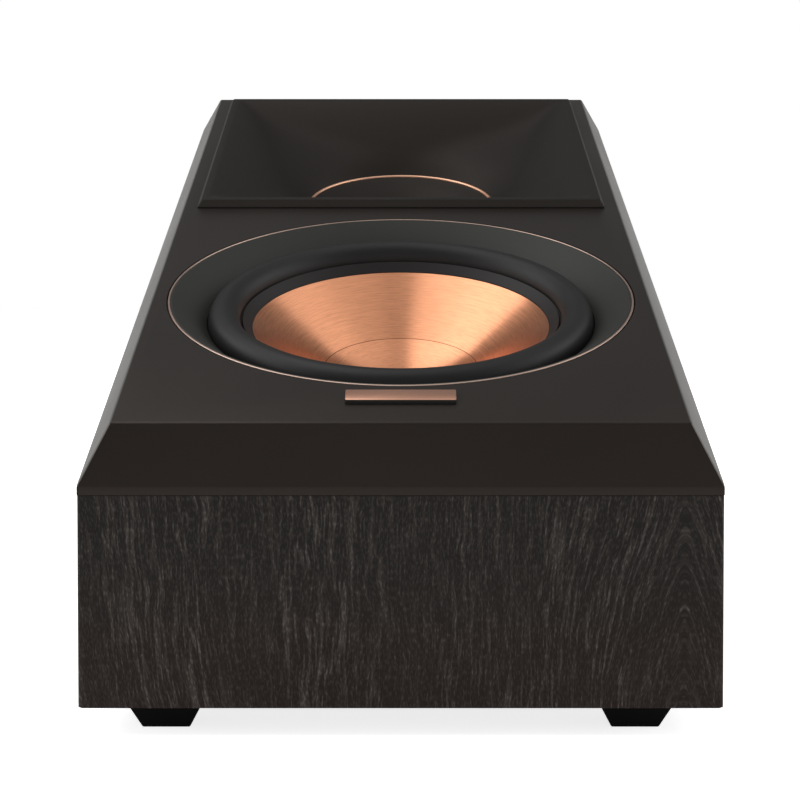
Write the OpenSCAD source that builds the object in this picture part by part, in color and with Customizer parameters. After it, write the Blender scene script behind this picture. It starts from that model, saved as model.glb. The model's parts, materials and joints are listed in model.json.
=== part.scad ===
/* [Cabinet] */
// Width of the cabinet
body_w = 175; // [157:1:230]
// Depth of the cabinet, front face to rear face
body_d = 327.5; // [294:0.5:400]
// Height of the front panel up to the baffle
front_h = 57.7; // [52:0.1:90]
// Tilt of the baffle above the horizontal
tilt = 20; // [17:0.5:22]
// Thickness of the cabinet panels
wall = 15; // [12:0.5:16]
// Thickness of the window brace
brace_t = 12; // [9:0.5:14]
// Clearance between the woofer's motor and the brace
brace_gap = 10; // [6:0.5:12]
// Thickness of the wool pad behind the front panel
wool_t = 16; // [8:1:20]

/* [Baffle] */
// Thickness of the baffle slab, square to its face
slab_t = 17.6; // [17.6:0.1:22]
// Height of the straight edge under the bevels
edge_h = 3; // [1.5:0.1:5]
// Setback of the bevel along each side, in the plane of the face
bevel_side = 8.2; // [3:0.1:8.6]
// Horizontal setback of the bevel at the front
bevel_front = 2.6; // [1:0.1:6]
// Horizontal setback of the bevel at the rear
bevel_rear = 7.5; // [5:0.1:9]
// Depth of the tongue that locates the baffle between the panels
tongue_t = 6; // [4:0.5:8]

/* [Feet] */
// Height of the feet
foot_h = 8; // [5:0.5:15]
// Width of a foot at its sole
foot_sole = 13.1; // [13:0.1:18]
// Width of a foot at the cabinet
foot_top = 21.4; // [20:0.1:26]
// Distance of each foot's centre from the side face
foot_side = 22.5; // [16:0.5:35]
// Distance of each foot's centre from the front or rear face
foot_end = 18.2; // [16:0.1:40]

/* [Woofer] */
// Outer radius of the accent ring
ring_r = 74.4; // [73.9:0.1:75]
// Width of the accent ring
ring_w = 1; // [0.8:0.1:1.4]
// Distance from the face's front edge to the accent ring
woofer_margin = 24.4; // [20:0.1:26]
// Radius at the lip of the bezel's dish
dish_r = 63.4; // [63.1:0.1:63.8]
// Depth of the basket flange below the face
flange_z = 9.6; // [9:0.1:10]
// Thickness of the basket flange
flange_t = 3.5; // [3:0.1:4]
// Thickness of the gasket under the flange
gasket_t = 1; // [0.6:0.1:1.4]
// Radius of the surround's roll, measured to its crest line
roll_r = 56; // [55.8:0.1:56.2]
// Outer radius of the roll's section
roll_s = 5.9; // [5.6:0.1:6]
// Thickness of the rubber
rubber_t = 1; // [0.8:0.1:1.2]
// Radius where the bare cone starts
cone_r = 47.6; // [47:0.1:48]
// Depth of the cone's edge below the face
cone_edge_z = 10.5; // [10.4:0.1:10.8]
// Thickness of the cone
cone_t = 0.7; // [0.5:0.05:0.9]
// Radius of the dust cap
cap_r = 25; // [24:0.1:26]
// Radius of the dust cap's bowl
cap_bowl_r = 50; // [48:1:54]
// Inner radius of the voice coil former
former_r = 15.5; // [15.3:0.1:15.6]
// Depth of the neck of the cone below the face
neck_z = 33; // [32.8:0.1:33.4]
// Radius of the motor's magnet
magnet_r = 45; // [38:0.5:46]
// Thickness of the motor's magnet
magnet_t = 14; // [12:0.5:15]
// Thickness of the motor's steel plates
plate_t = 5; // [4:0.1:6]
// Depth of the motor's front plate below the face
motor_z = 44; // [43.5:0.1:45]
// Number of basket screws
woofer_screws_n = 6; // [4:1:8]

/* [Horn] */
// Distance from the side face to the horn's flange
horn_side = 13.5; // [12:0.5:20]
// Clearance between the accent ring and the horn's flange along the slope
driver_gap = 12.27; // [8:0.01:16]
// Height that the flange stands above the face
horn_proud = 2.9; // [2:0.1:4]
// Distance from the face's rear edge to the flange
horn_margin = 8.5; // [8.3:0.1:9]
// Setback of the flange's bevelled edge
horn_bevel = 1.6; // [1:0.1:2]
// Width of the flat lip round the mouth
horn_lip = 2.2; // [1.5:0.1:3]
// Wall of the horn moulding
horn_wall = 2.6; // [2:0.1:3]
// Radius of the throat ring
throat_r = 37.2; // [36:0.1:38]
// Depth of the throat ring below the face
throat_z = 21.5; // [21:0.1:22]
// Length of the round throat behind its ring
throat_l = 22; // [20:0.5:23]
// Thickness of the horn's chassis plate
chassis_t = 4; // [3:0.1:4.5]
// Depth of the chassis plate below the face
chassis_z = 11; // [10.6:0.1:11.4]
// Length of the straight part of the throat in front of the tweeter
throat_straight = 6.5; // [6:0.1:7]
// Radius of the rounded plug in the throat
plug_r = 4.4; // [4:0.1:5]
// Height of the rounded plug
plug_h = 7; // [6:0.1:8]
// Radius of the tweeter's dome
dome_r = 12.7; // [12.5:0.1:13]
// Radius of the tweeter's magnet
tweeter_r = 33; // [30:0.5:34]
// Thickness of the tweeter's magnet
tweeter_magnet_t = 9; // [7:0.5:10]

/* [Rear] */
// Width of the terminal cup's flange
cup_w = 88; // [84:1:100]
// Height of the terminal cup's flange
cup_h = 64; // [62:1:66]
// Depth of the terminal cup's recess
cup_depth = 22; // [21.5:0.5:23]
// Height of the cup's centre above the cabinet bottom
cup_z = 50; // [49:0.5:56]
// Spacing of the binding posts
post_pitch = 19; // [17:0.1:22]
// Radius of the binding posts' studs
post_r = 3; // [2.9:0.05:3.1]
// Radius of the plug socket in each post
socket_r = 2.05; // [2.02:0.01:2.1]
// Radius of the binding posts' caps
cap_shell_r = 7; // [6.6:0.1:7.5]
// Radial running clearance between turning or sliding pieces
running = 0.05; // [0.03:0.01:0.08]
// Width of the keyhole plate
key_w = 40; // [34:1:50]
// Height of the keyhole plate
key_h = 52; // [48:1:56]
// Height of the keyhole's round part above the cabinet bottom
key_z = 126; // [120:1:130]
// Radius of the keyhole's round part
key_r = 4.5; // [4.2:0.1:5]
// Half the width of the keyhole's slot
key_slot_r = 2.3; // [2:0.1:2.4]

/* [Crossover] */
// Width of the crossover board
board_w = 104; // [90:1:120]
// Thickness of the crossover board
board_t = 1.6; // [1:0.1:2]
// Clearance between the brace and the board
board_gap = 12; // [8:0.5:16]
// Share of the cabinet's depth that the board takes
board_share = 0.232; // [0.2:0.002:0.24]
// Height of the pillars under the board
pillar_h = 8; // [5:0.5:10]
// Distance of the pillars from the board's edges
pillar_inset = 6; // [5:0.5:8]
// Radius of the insulated leads
lead_r = 1.1; // [0.8:0.1:1.4]

/* [Badge] */
// Width of the plain bar
bar_w = 31; // [20:0.5:40]
// Length of the plain bar along the slope
bar_l = 7; // [5:0.1:9]
// Height of the plain bar
bar_t = 1.3; // [1:0.1:2.5]
// Distance from the face's front edge to the bar
bar_margin = 12.4; // [10:0.1:15]

/* [Hidden] */
$fn = 96;

rise = body_d * tan(tilt);
rear_h = front_h + rise;
face_front = (bevel_front + slab_t * sin(tilt)) / cos(tilt);
face_rear = (body_d - bevel_rear + slab_t * sin(tilt)) / cos(tilt);
woofer_y = face_front + woofer_margin + ring_r;
horn_w = body_w - 2 * horn_side;
horn_l = face_rear - horn_margin - woofer_y - ring_r - driver_gap;
horn_y = face_rear - horn_margin - horn_l / 2;
bar_y = face_front + bar_margin + bar_l / 2;
seat = 0.1;
cut = 1;
glue = 0.05;

// Depths in the woofer, below the face of the baffle
gasket_z = flange_z + flange_t + gasket_t;
flange_r = ring_r - 0.3;
ring_in = ring_r - ring_w;
ring_ledge_z = 2;
barrel_r = dish_r - 1;
barrel_wall = 2.2;
barrel_z = gasket_z + 7;
can_r = magnet_r - 9;
can_z = motor_z - 4.5;
shelf_z = motor_z - 7;
neck_l = 2;
coil_r = former_r + 0.25;
coil_out = coil_r + 0.75;
coil_l = plate_t + 6;
coil_z = motor_z + plate_t / 2;
gap_r = coil_out + 0.6;
pole_r = former_r - 0.5;
yoke_z = motor_z + plate_t + magnet_t;
motor_end = from_woofer([0, 0, -yoke_z - plate_t]);
brace_y = motor_end[1] + magnet_r * cos(tilt) + brace_gap;
window_r = (body_w - 2 * wall) * 0.272;
window_z = wall + window_r + 5;
rim_r = roll_r - roll_s + rubber_t;
foot_out = dish_r - 0.2;
cone_slope = (neck_z - cone_edge_z) / (cone_r - coil_r);
cap_edge_z = cone_edge_z + (cone_r - cap_r) * cone_slope;
screw_circle = (flange_r + barrel_r) / 2;
lug_x = 5;
lug_y = can_r + 2.5;
lug_z = 2.5 - motor_z;
lug_l = 7;

// Half sizes and depths in the horn
mouth_x = horn_w / 2 - horn_bevel - horn_lip;
mouth_y = horn_l / 2 - horn_bevel - horn_lip;
flare = 1.25;
horn_sides = 64;
horn_steps = 8;
ring_band = 1.3;
ring_h = 2.5;
throat_in = throat_r - ring_band;
horn_floor = throat_z + ring_h;
pocket_inset = 4.5;
pocket_x = horn_w / 2 - pocket_inset;
pocket_y = horn_l / 2 - pocket_inset;
pocket_z = chassis_z + chassis_t + gasket_t;
horn_back = horn_wall * 0.6;
well_gap = 0.5;
well_x = wall_at(mouth_x, chassis_z - horn_back) + horn_wall + well_gap;
well_y = wall_at(mouth_y, chassis_z - horn_back) + horn_wall + well_gap;
well_t = 3;
well_floor = horn_floor + 3;
throat_flange_r = throat_r + 10.8;
throat_end = horn_floor + throat_l;
throat_out = dome_r + 1;
tweeter_flange_r = tweeter_r - 3;
dome_z = throat_end + 0.4;
tweeter_plate_t = 4;
tweeter_coil_r = dome_r + 0.05;
tweeter_gap_r = dome_r + 0.8;
tweeter_magnet_z = throat_end + 1 + tweeter_plate_t;
tweeter_yoke_z = tweeter_magnet_z + tweeter_magnet_t;
chamber_z = tweeter_yoke_z + tweeter_plate_t;
chamber_r = tweeter_r - 9;
chamber_l = 14;
ledge_x = (pocket_x + well_x + well_t) / 2;
ledge_y = (pocket_y + well_y + well_t) / 2;

// Sizes at the rear
cup_flange_t = 2.5;
cup_wall = 2.5;
cup_margin = 6;
cup_floor_t = 3;
cup_corner = 5;
post_drop = -7;
post_flange_t = 2;
post_tail = 9;
post_l = 16.5;
bush_out = post_r + 1.4;
cap_rest = post_flange_t + 0.3;
cap_l = post_l - 1.6;
switch_rise = 15;
slider_w = 4;
slider_h = 3;
slider_travel = 3;
switch_depth = 6;
key_plate_t = 2;
key_rise = 5;
key_slot_l = 13;

// Sizes of the crossover, whose pieces are shares of its board
board_y = brace_y + brace_t + board_gap;
board_l = body_d * board_share;
board_z = wall + pillar_h;
board_top = board_z + board_t;
pillar_r = 3.5;
peg_r = 1.6;

// Screws as shank radius, head radius and length
woofer_screw = [1.9, 3.4, 13];
chassis_screw = [1.6, 3, 11];
throat_screw = [1.4, 2.6, 7];
cup_screw = [1.6, 2.8, 11];
key_screw = [1.5, 2.7, 11];
foot_screw_r = 2.1;
foot_screw_head_r = 3.8;

// Places of the four feet, as signs of x and y
FEET = [[-1, 1], [1, 1], [-1, -1], [1, -1]];

function on_face(y) = [y * cos(tilt) - slab_t * sin(tilt), y * sin(tilt) + slab_t * cos(tilt)];

function bow(p0, p1, p2, n) = [
    for (i = [0:n]) let (t = i / n) (1 - t) * (1 - t) * p0 + 2 * t * (1 - t) * p1 + t * t * p2
];

// Point of the cabinet's frame from a point square to the baffle's face
function from_face(p, y) = [
    p[0],
    (y + p[1]) * cos(tilt) - (slab_t + p[2]) * sin(tilt),
    front_h + (y + p[1]) * sin(tilt) + (slab_t + p[2]) * cos(tilt)
];

function from_woofer(p) = from_face(p, woofer_y);

function from_horn(p) = from_face(p, horn_y);

function back(list) = [for (i = [len(list) - 1:-1:0]) list[i]];

// Share of the way down the horn, from mouth to throat ring, at a depth below the face
function share_at(z) = pow((horn_proud + z) / (horn_proud + throat_z), 1 / flare);

function wall_at(mouth, z) = mouth + (throat_r - mouth) * share_at(z);

// One ring of the horn at a share of its depth: half width, half length, squareness and height
function horn_ring_at(t, grow, drop) = [
    mouth_x + (throat_r - mouth_x) * t + grow,
    mouth_y + (throat_r - mouth_y) * t + grow,
    1 - pow(t, 4),
    horn_proud - (horn_proud + throat_z) * pow(t, flare) - drop
];

// Half sizes of the horn's outer wall where it passes the face of the baffle
function mouth_at_face() = [wall_at(mouth_x, 0) + horn_wall, wall_at(mouth_y, 0) + horn_wall];

// Height of a corrugation that is flat at its outer landing
function ripple(s, waves) = s > 0.85 ? 0 : 0.9 * (1 - cos(360 * waves * s / 0.85)) / 2;

// Point of a ring that runs from a rectangle, squareness 1, to an ellipse, squareness 0
function ring_point(ring, a) = let (m = max(abs(cos(a)), abs(sin(a))), k = ring[2]) [
    ring[0] * cos(a) * (1 - k + k / m),
    ring[1] * sin(a) * (1 - k + k / m),
    ring[3]
];

function unit(v) = v / norm(v);

// Smooth point between p1 and p2 of four neighbours on a path
function between(p0, p1, p2, p3, t) =
    0.5 * (2 * p1 + (p2 - p0) * t + (2 * p0 - 5 * p1 + 4 * p2 - p3) * t * t
        + (3 * p1 - p0 - 3 * p2 + p3) * t * t * t);

function smooth(path, n) = let (last = len(path) - 1) [
    for (i = [0:last - 1], j = [0:n - 1])
        between(path[max(i - 1, 0)], path[i], path[i + 1], path[min(i + 2, last)], j / n),
    path[last]
];

function tangent(path, i) = unit(path[min(i + 1, len(path) - 1)] - path[max(i - 1, 0)]);

// Side of the path that stays square to it and close to a given direction
function side_of(t, up) = unit(cross(t, cross(up, t)));

module cab() {
    translate([0, -body_d / 2, foot_h]) children();
}

module slope() {
    cab() translate([0, 0, front_h]) rotate([tilt, 0, 0]) children();
}

module at_woofer() {
    slope() translate([0, woofer_y, slab_t]) children();
}

module at_horn() {
    slope() translate([0, horn_y, slab_t]) children();
}

// Frame on the rear face, seen from behind: x to the right, y up, z out of the cabinet
module at_rear(z) {
    cab() translate([0, body_d, z]) rotate([90, 0, 180]) children();
}

module at_post(side) {
    at_rear(cup_z) translate([side * post_pitch / 2, post_drop, -cup_depth]) children();
}

module across(w) {
    translate([-w / 2, 0, 0]) rotate([90, 0, 90]) linear_extrude(w) children();
}

module tube(r, hole, z0, z1) {
    translate([0, 0, z0]) difference() {
        cylinder(r = r, h = z1 - z0);
        translate([0, 0, -cut]) cylinder(r = hole, h = z1 - z0 + 2 * cut);
    }
}

module block(x, y, z0, z1) {
    translate([-x, -y, z0]) cube([2 * x, 2 * y, z1 - z0]);
}

module rounded(w, h, r) {
    square([w - 2 * r, h], center = true);
    square([w, h - 2 * r], center = true);
    for (x = [-1, 1], y = [-1, 1]) translate([x * (w / 2 - r), y * (h / 2 - r)]) circle(r);
}

// Countersunk screw with its head flush at z 0 and its tip pointing down
module screw(size) {
    r = size[0];
    head = size[1] - r;
    translate([0, 0, -size[2]]) cylinder(r = r, h = size[2] - 0.01);
    translate([0, 0, -head]) cylinder(r1 = r, r2 = size[1], h = head);
}

module screw_hole(size) {
    r = size[0] + seat;
    head = size[1] - size[0];
    translate([0, 0, -size[2] - cut]) cylinder(r = r, h = size[2] + 2 * cut);
    translate([0, 0, -head]) cylinder(r1 = r, r2 = r + head, h = head);
    translate([0, 0, -0.01]) cylinder(r = r + head, h = cut);
}

// Blind hole in the wood for a screw's shank
module pilot(size) {
    translate([0, 0, -size[2] - seat]) cylinder(r = size[0] + seat, h = size[2]);
}

module woofer_screw_places() {
    for (i = [0:woofer_screws_n - 1])
        at_woofer() rotate(360 * (i + 0.5) / woofer_screws_n) translate([screw_circle, 0, -flange_z])
            children();
}

module chassis_screw_places() {
    for (x = [-1, 0, 1], y = [-1, 0, 1]) if (abs(x) + abs(y) > 0)
        at_horn() translate([x * ledge_x, y * ledge_y, -chassis_z]) children();
}

module throat_screw_places() {
    for (a = [0:90:270])
        at_horn() rotate(a) translate([throat_flange_r - 4, 0, -horn_floor]) children();
}

module cup_screw_places() {
    for (x = [-1, 1], y = [-1, 1])
        at_rear(cup_z) translate([x * (cup_w / 2 - 4), y * (cup_h / 2 - 4), 0]) children();
}

module key_screw_places() {
    for (x = [-1, 1], y = [-1, 1])
        at_rear(key_z) translate([x * (key_w / 2 - 5), key_rise + y * (key_h / 2 - 6), 0]) children();
}

module wedge() {
    cab() across(body_w) polygon([[0, 0], [body_d, 0], [body_d, rear_h], [0, front_h]]);
}

module panel(outline) {
    intersection() {
        wedge();
        cab() linear_extrude(rear_h) polygon(outline);
    }
}

module front_panel() {
    w = body_w / 2;
    color([0.15, 0.14, 0.13]) panel([[-w, 0], [w, 0], [w - wall, wall], [wall - w, wall]]);
}

module side_panel() {
    w = body_w / 2;
    panel([[w, 0], [w, body_d], [w - wall, body_d - wall], [w - wall, wall]]);
}

module left_panel() {
    color([0.15, 0.14, 0.13]) mirror([1, 0, 0]) side_panel();
}

module right_panel() {
    color([0.15, 0.14, 0.13]) side_panel();
}

module bottom_panel() {
    color([0.3, 0.25, 0.2]) difference() {
        cab() translate([wall - body_w / 2, wall, 0]) cube([body_w - 2 * wall, body_d - 2 * wall, wall]);
        for (f = FEET) at_foot(f) foot_screw_hole();
    }
}

module rear_panel() {
    w = body_w / 2;
    color([0.15, 0.14, 0.13]) difference() {
        panel([[-w, body_d], [w, body_d], [w - wall, body_d - wall], [wall - w, body_d - wall]]);
        at_rear(cup_z) {
            translate([0, 0, -cup_flange_t])
                linear_extrude(cup_flange_t + cut) rounded(cup_w + seat, cup_h + seat, cup_corner);
            translate([0, 0, -wall - cut]) linear_extrude(wall + 2 * cut)
                rounded(cup_w - 2 * cup_margin + 2 * seat, cup_h - 2 * cup_margin + 2 * seat, cup_corner);
        }
        cup_screw_places() screw_hole(cup_screw);
        at_rear(key_z) {
            translate([0, key_rise, -key_plate_t])
                linear_extrude(key_plate_t + cut) rounded(key_w + seat, key_h + seat, 3);
            translate([0, key_slot_l / 2, 3 - wall])
                linear_extrude(wall) rounded(2 * key_r + 3, key_slot_l + 2 * key_r + 3, key_r + 1);
        }
        key_screw_places() screw_hole(key_screw);
    }
}

module slab() {
    half = body_w / 2;
    length = face_rear + 3 * slab_t;
    intersection() {
        cab() translate([0, 0, front_h]) across(body_w) polygon([
            [0, 0], [0, edge_h], on_face(face_front), on_face(face_rear),
            [body_d, rise + edge_h], [body_d, rise]
        ]);
        slope() translate([0, length, 0]) rotate([90, 0, 0]) linear_extrude(length + slab_t) polygon([
            [-half, -slab_t], [half, -slab_t], [half, edge_h * cos(tilt)], [half - bevel_side, slab_t],
            [bevel_side - half, slab_t], [-half, edge_h * cos(tilt)]
        ]);
    }
}

module tongue() {
    intersection() {
        cab() translate([wall - body_w / 2, wall, 0])
            cube([body_w - 2 * wall, body_d - 2 * wall, 2 * rear_h]);
        slope() translate([-body_w / 2, 0, -tongue_t]) cube([body_w, face_rear, tongue_t + edge_h / 2]);
    }
}

module baffle() {
    color([0.19, 0.17, 0.16]) difference() {
        union() {
            slab();
            tongue();
        }
        at_woofer() {
            translate([0, 0, -gasket_z]) cylinder(r = ring_r + seat, h = gasket_z + cut);
            translate([0, 0, -2 * slab_t]) cylinder(r = barrel_r + 0.5, h = 2 * slab_t);
        }
        woofer_screw_places() pilot(woofer_screw);
        at_horn() {
            block(pocket_x, pocket_y, -pocket_z, cut);
            block(well_x + well_t + 1, well_y + well_t + 1, -2 * slab_t, cut);
        }
        chassis_screw_places() pilot(chassis_screw);
    }
}

module cabinet_brace() {
    inner = body_w - 2 * wall;
    color([0.45, 0.36, 0.26]) difference() {
        intersection() {
            cab() translate([-inner / 2, brace_y, wall]) cube([inner, brace_t, rear_h]);
            slope() translate([-body_w / 2, 0, -rear_h * 2 - tongue_t])
                cube([body_w, 2 * body_d, rear_h * 2]);
        }
        cab() translate([0, brace_y - cut, window_z]) rotate([-90, 0, 0])
            cylinder(r = window_r, h = brace_t + 2 * cut);
    }
}

module damping_wool() {
    inner = body_w - 2 * wall;
    color([0.85, 0.84, 0.8]) cab() translate([0, wall, wall])
        translate([4 - inner / 2, 0, 0]) cube([inner - 8, wool_t, front_h - wall - 8]);
}

module at_foot(f) {
    translate([f[0] * (body_w / 2 - foot_side), f[1] * (foot_end - body_d / 2), 0]) children();
}

module foot_screw_hole() {
    translate([0, 0, -cut]) cylinder(r = foot_screw_r + seat, h = foot_h + wall - 3 + cut);
}

module foot_body() {
    difference() {
        linear_extrude(foot_h, scale = foot_top / foot_sole) square(foot_sole, center = true);
        foot_screw_hole();
        translate([0, 0, -cut]) cylinder(r = foot_screw_head_r + 0.4, h = foot_h / 2 + cut);
    }
}

module foot(i) {
    color([0.04, 0.04, 0.04]) at_foot(FEET[i]) foot_body();
}

module foot_front_left() {
    foot(0);
}

module foot_front_right() {
    foot(1);
}

module foot_rear_left() {
    foot(2);
}

module foot_rear_right() {
    foot(3);
}

module foot_screws() {
    color([0.6, 0.6, 0.6]) for (f = FEET) at_foot(f) {
        translate([0, 0, foot_h / 2 - 2.2]) cylinder(r = foot_screw_head_r, h = 2.2);
        translate([0, 0, foot_h / 2 - 0.1]) cylinder(r = foot_screw_r, h = foot_h / 2 + wall - 4);
    }
}

module woofer_basket() {
    color([0.25, 0.25, 0.26]) difference() {
        at_woofer() difference() {
            rotate_extrude() polygon([
                [flange_r, -flange_z], [flange_r, -flange_z - flange_t],
                [barrel_r, -flange_z - flange_t], [barrel_r, -barrel_z],
                [can_r, -can_z], [can_r, -motor_z], [gap_r + 1, -motor_z], [gap_r + 1, 2 - motor_z],
                [can_r - 2, 2 - motor_z], [can_r - 2, -shelf_z - 2],
                [can_r - 5.5, -shelf_z - 2], [can_r - 5.5, -shelf_z], [can_r + 1.6, -shelf_z],
                [barrel_r - barrel_wall, 1.4 - barrel_z], [barrel_r - barrel_wall, -flange_z]
            ]);
            for (a = [0:60:300]) rotate(a) translate([0, 0, -can_z]) linear_extrude(can_z - barrel_z)
                polygon([[can_r + 3, -11], [barrel_r - 4, -21], [barrel_r - 4, 21], [can_r + 3, 11]]);
        }
        woofer_screw_places() screw_hole(woofer_screw);
    }
}

module driver_gaskets() {
    color([0.1, 0.1, 0.1]) {
        difference() {
            at_woofer() tube(flange_r, barrel_r + 0.7, -gasket_z, -flange_z - flange_t);
            woofer_screw_places() screw_hole(woofer_screw);
        }
        difference() {
            at_horn() difference() {
                block(pocket_x - 0.5, pocket_y - 0.5, -pocket_z, -chassis_z - chassis_t);
                block(well_x + well_t + 1.2, well_y + well_t + 1.2, -pocket_z - cut, 0);
            }
            chassis_screw_places() screw_hole(chassis_screw);
        }
    }
}

module woofer_bezel() {
    lip = dish_r + 1.2;
    dish = bow([ring_in - 0.6, 0], [(ring_in + lip) / 2 - 0.5, -3.4], [lip, -flange_z + 1.9], 6);
    color([0.13, 0.13, 0.13]) at_woofer() rotate_extrude() polygon(concat(
        [[ring_r, -flange_z], [ring_r, -ring_ledge_z], [ring_in, -ring_ledge_z], [ring_in, 0]],
        dish,
        [[dish_r, -flange_z + 0.9], [dish_r, -flange_z], [dish_r + 1.8, -flange_z],
            [dish_r + 2.2, -flange_z + 0.9], [ring_in - 1.8, -ring_ledge_z - 1.2],
            [ring_r - 1.8, -ring_ledge_z - 1.8], [ring_r - 1.8, -flange_z]]
    ));
}

module accent_ring() {
    proud = 0.25;
    color([0.78, 0.56, 0.46]) at_woofer() rotate_extrude() polygon([
        [ring_in, -ring_ledge_z], [ring_r, -ring_ledge_z], [ring_r, 0],
        [ring_r - proud, proud], [ring_in + proud, proud], [ring_in, 0]
    ]);
}

module woofer_surround() {
    base = rubber_t - flange_z;
    inner = roll_r - roll_s;
    color([0.1, 0.1, 0.1]) at_woofer() rotate_extrude() {
        difference() {
            translate([roll_r, base]) circle(roll_s);
            translate([roll_r, base]) circle(roll_s - rubber_t);
            translate([inner - cut, base - 2 * roll_s]) square([2 * roll_s + 2 * cut, 2 * roll_s]);
        }
        translate([roll_r + roll_s - rubber_t, -flange_z])
            square([foot_out - roll_r - roll_s + rubber_t, rubber_t]);
        translate([inner, -cone_edge_z]) square([rubber_t, base + cone_edge_z]);
        translate([cone_r, -cone_edge_z]) square([rim_r - cone_r, rubber_t]);
    }
}

module woofer_cone() {
    edge = -cone_edge_z - glue;
    color([0.8, 0.55, 0.4]) at_woofer() rotate_extrude() polygon([
        [rim_r, edge], [cone_r, edge], [coil_r, -neck_z], [coil_r, -neck_z - neck_l],
        [coil_r + cone_t, -neck_z - neck_l], [coil_r + cone_t, -neck_z - cone_t / 2],
        [cone_r + cone_t / 2, edge - cone_t], [rim_r, edge - cone_t]
    ]);
}

module dust_cap() {
    t = 0.5;
    edge = t - cap_edge_z;
    middle = edge + sqrt(cap_bowl_r * cap_bowl_r - cap_r * cap_r);
    steps = [for (i = [0:10]) asin(cap_r / cap_bowl_r) * (1 - i / 10)];
    color([0.8, 0.55, 0.4]) at_woofer() rotate_extrude() polygon(concat(
        [for (a = steps) [cap_bowl_r * sin(a), middle - cap_bowl_r * cos(a)]],
        [for (a = back(steps)) [cap_bowl_r * sin(a), middle - cap_bowl_r * cos(a) - t]]
    ));
}

module coil_former() {
    color([0.75, 0.6, 0.35]) at_woofer() tube(coil_r, former_r, -coil_z - coil_l / 2, -neck_z);
}

module voice_coil() {
    color([0.72, 0.42, 0.25]) at_woofer() tube(coil_out, coil_r, -coil_z - coil_l / 2, coil_l / 2 - coil_z);
}

module spider() {
    r0 = coil_r + glue;
    r1 = can_r - 2.4;
    t = 0.5;
    waves = 4;
    steps = [for (i = [0:32]) i / 32];
    color([0.7, 0.6, 0.3]) at_woofer() rotate_extrude() polygon(concat(
        [for (s = steps) [r0 + (r1 - r0) * s, ripple(s, waves) - shelf_z]],
        [for (s = back(steps)) [r0 + (r1 - r0) * s, ripple(s, waves) - shelf_z + t]]
    ));
}

module front_plate() {
    color([0.55, 0.55, 0.56]) at_woofer() tube(magnet_r - 3, gap_r, -motor_z - plate_t, -motor_z);
}

module magnet() {
    color([0.2, 0.2, 0.21]) at_woofer() tube(magnet_r, gap_r + 7, -yoke_z, -motor_z - plate_t);
}

module pole_yoke() {
    color([0.55, 0.55, 0.56]) at_woofer() difference() {
        union() {
            translate([0, 0, -yoke_z - plate_t]) cylinder(r = magnet_r - 3, h = plate_t);
            translate([0, 0, -yoke_z - 0.01]) cylinder(r = pole_r, h = yoke_z - motor_z);
        }
        translate([0, 0, -yoke_z - plate_t - cut]) cylinder(r = pole_r / 3, h = yoke_z);
    }
}

module woofer_screws() {
    color([0.2, 0.2, 0.2]) woofer_screw_places() screw(woofer_screw);
}

module woofer_terminals() {
    color([0.5, 0.35, 0.2]) at_woofer() {
        difference() {
            translate([-9, can_r - 1, 0.4 - motor_z]) cube([18, 3.5, motor_z - can_z - 0.6]);
            translate([0, 0, -motor_z]) cylinder(r = can_r + glue, h = motor_z);
        }
        for (x = [-lug_x, lug_x]) translate([x - 2.4, lug_y, lug_z]) cube([4.8, lug_l, 0.8]);
    }
}

// Closed shell through a list of rings, the last joined back to the first
module ring_shell(rings) {
    n = horn_sides;
    m = len(rings);
    polyhedron(
        points = [for (ring = rings, i = [0:n - 1]) ring_point(ring, 360 * i / n)],
        faces = [
            for (j = [0:m - 1], i = [0:n - 1]) let (a = j * n, b = (j + 1) % m * n, k = (i + 1) % n)
                each [[a + i, b + i, b + k], [a + i, b + k, a + k]]
        ]
    );
}

module horn() {
    x = horn_w / 2;
    y = horn_l / 2;
    steps = [for (i = [0:horn_steps]) i / horn_steps];
    outer = [for (i = [horn_steps:-1:2]) i / horn_steps];
    base = mouth_at_face();
    color([0.12, 0.12, 0.12]) at_horn() ring_shell(concat(
        [for (t = steps) horn_ring_at(t, t == 1 ? glue : 0, 0)],
        [[throat_r + glue, throat_r + glue, 0, -horn_floor]],
        [[throat_r + horn_wall, throat_r + horn_wall, 0, -horn_floor]],
        [for (t = outer) horn_ring_at(t, horn_wall, horn_back)],
        [[base[0], base[1], 1, 0], [x, y, 1, 0], [x, y, 1, horn_proud - horn_bevel]],
        [[x - horn_bevel, y - horn_bevel, 1, horn_proud]]
    ));
}

module horn_chassis() {
    top = -chassis_z;
    color([0.16, 0.16, 0.17]) difference() {
        at_horn() difference() {
            union() {
                block(pocket_x - 0.3, pocket_y - 0.3, top - chassis_t, top);
                block(well_x + well_t, well_y + well_t, -well_floor - well_t, top);
            }
            block(well_x, well_y, -well_floor, cut);
            translate([0, 0, -well_floor - well_t - cut]) cylinder(r = throat_r + 0.8, h = 2 * well_floor);
        }
        chassis_screw_places() screw_hole(chassis_screw);
        throat_screw_places() translate([0, 0, -12]) cylinder(r = throat_screw[0] + seat, h = 12);
    }
}

module horn_screws() {
    color([0.2, 0.2, 0.2]) {
        chassis_screw_places() screw(chassis_screw);
        throat_screw_places() screw(throat_screw);
    }
}

module throat_ring() {
    edge = 0.3;
    color([0.78, 0.56, 0.46]) at_horn() rotate_extrude() polygon([
        [throat_in, -horn_floor], [throat_r, -horn_floor], [throat_r, -throat_z - edge],
        [throat_r - edge, -throat_z], [throat_in + edge, -throat_z], [throat_in, -throat_z - edge]
    ]);
}

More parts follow.
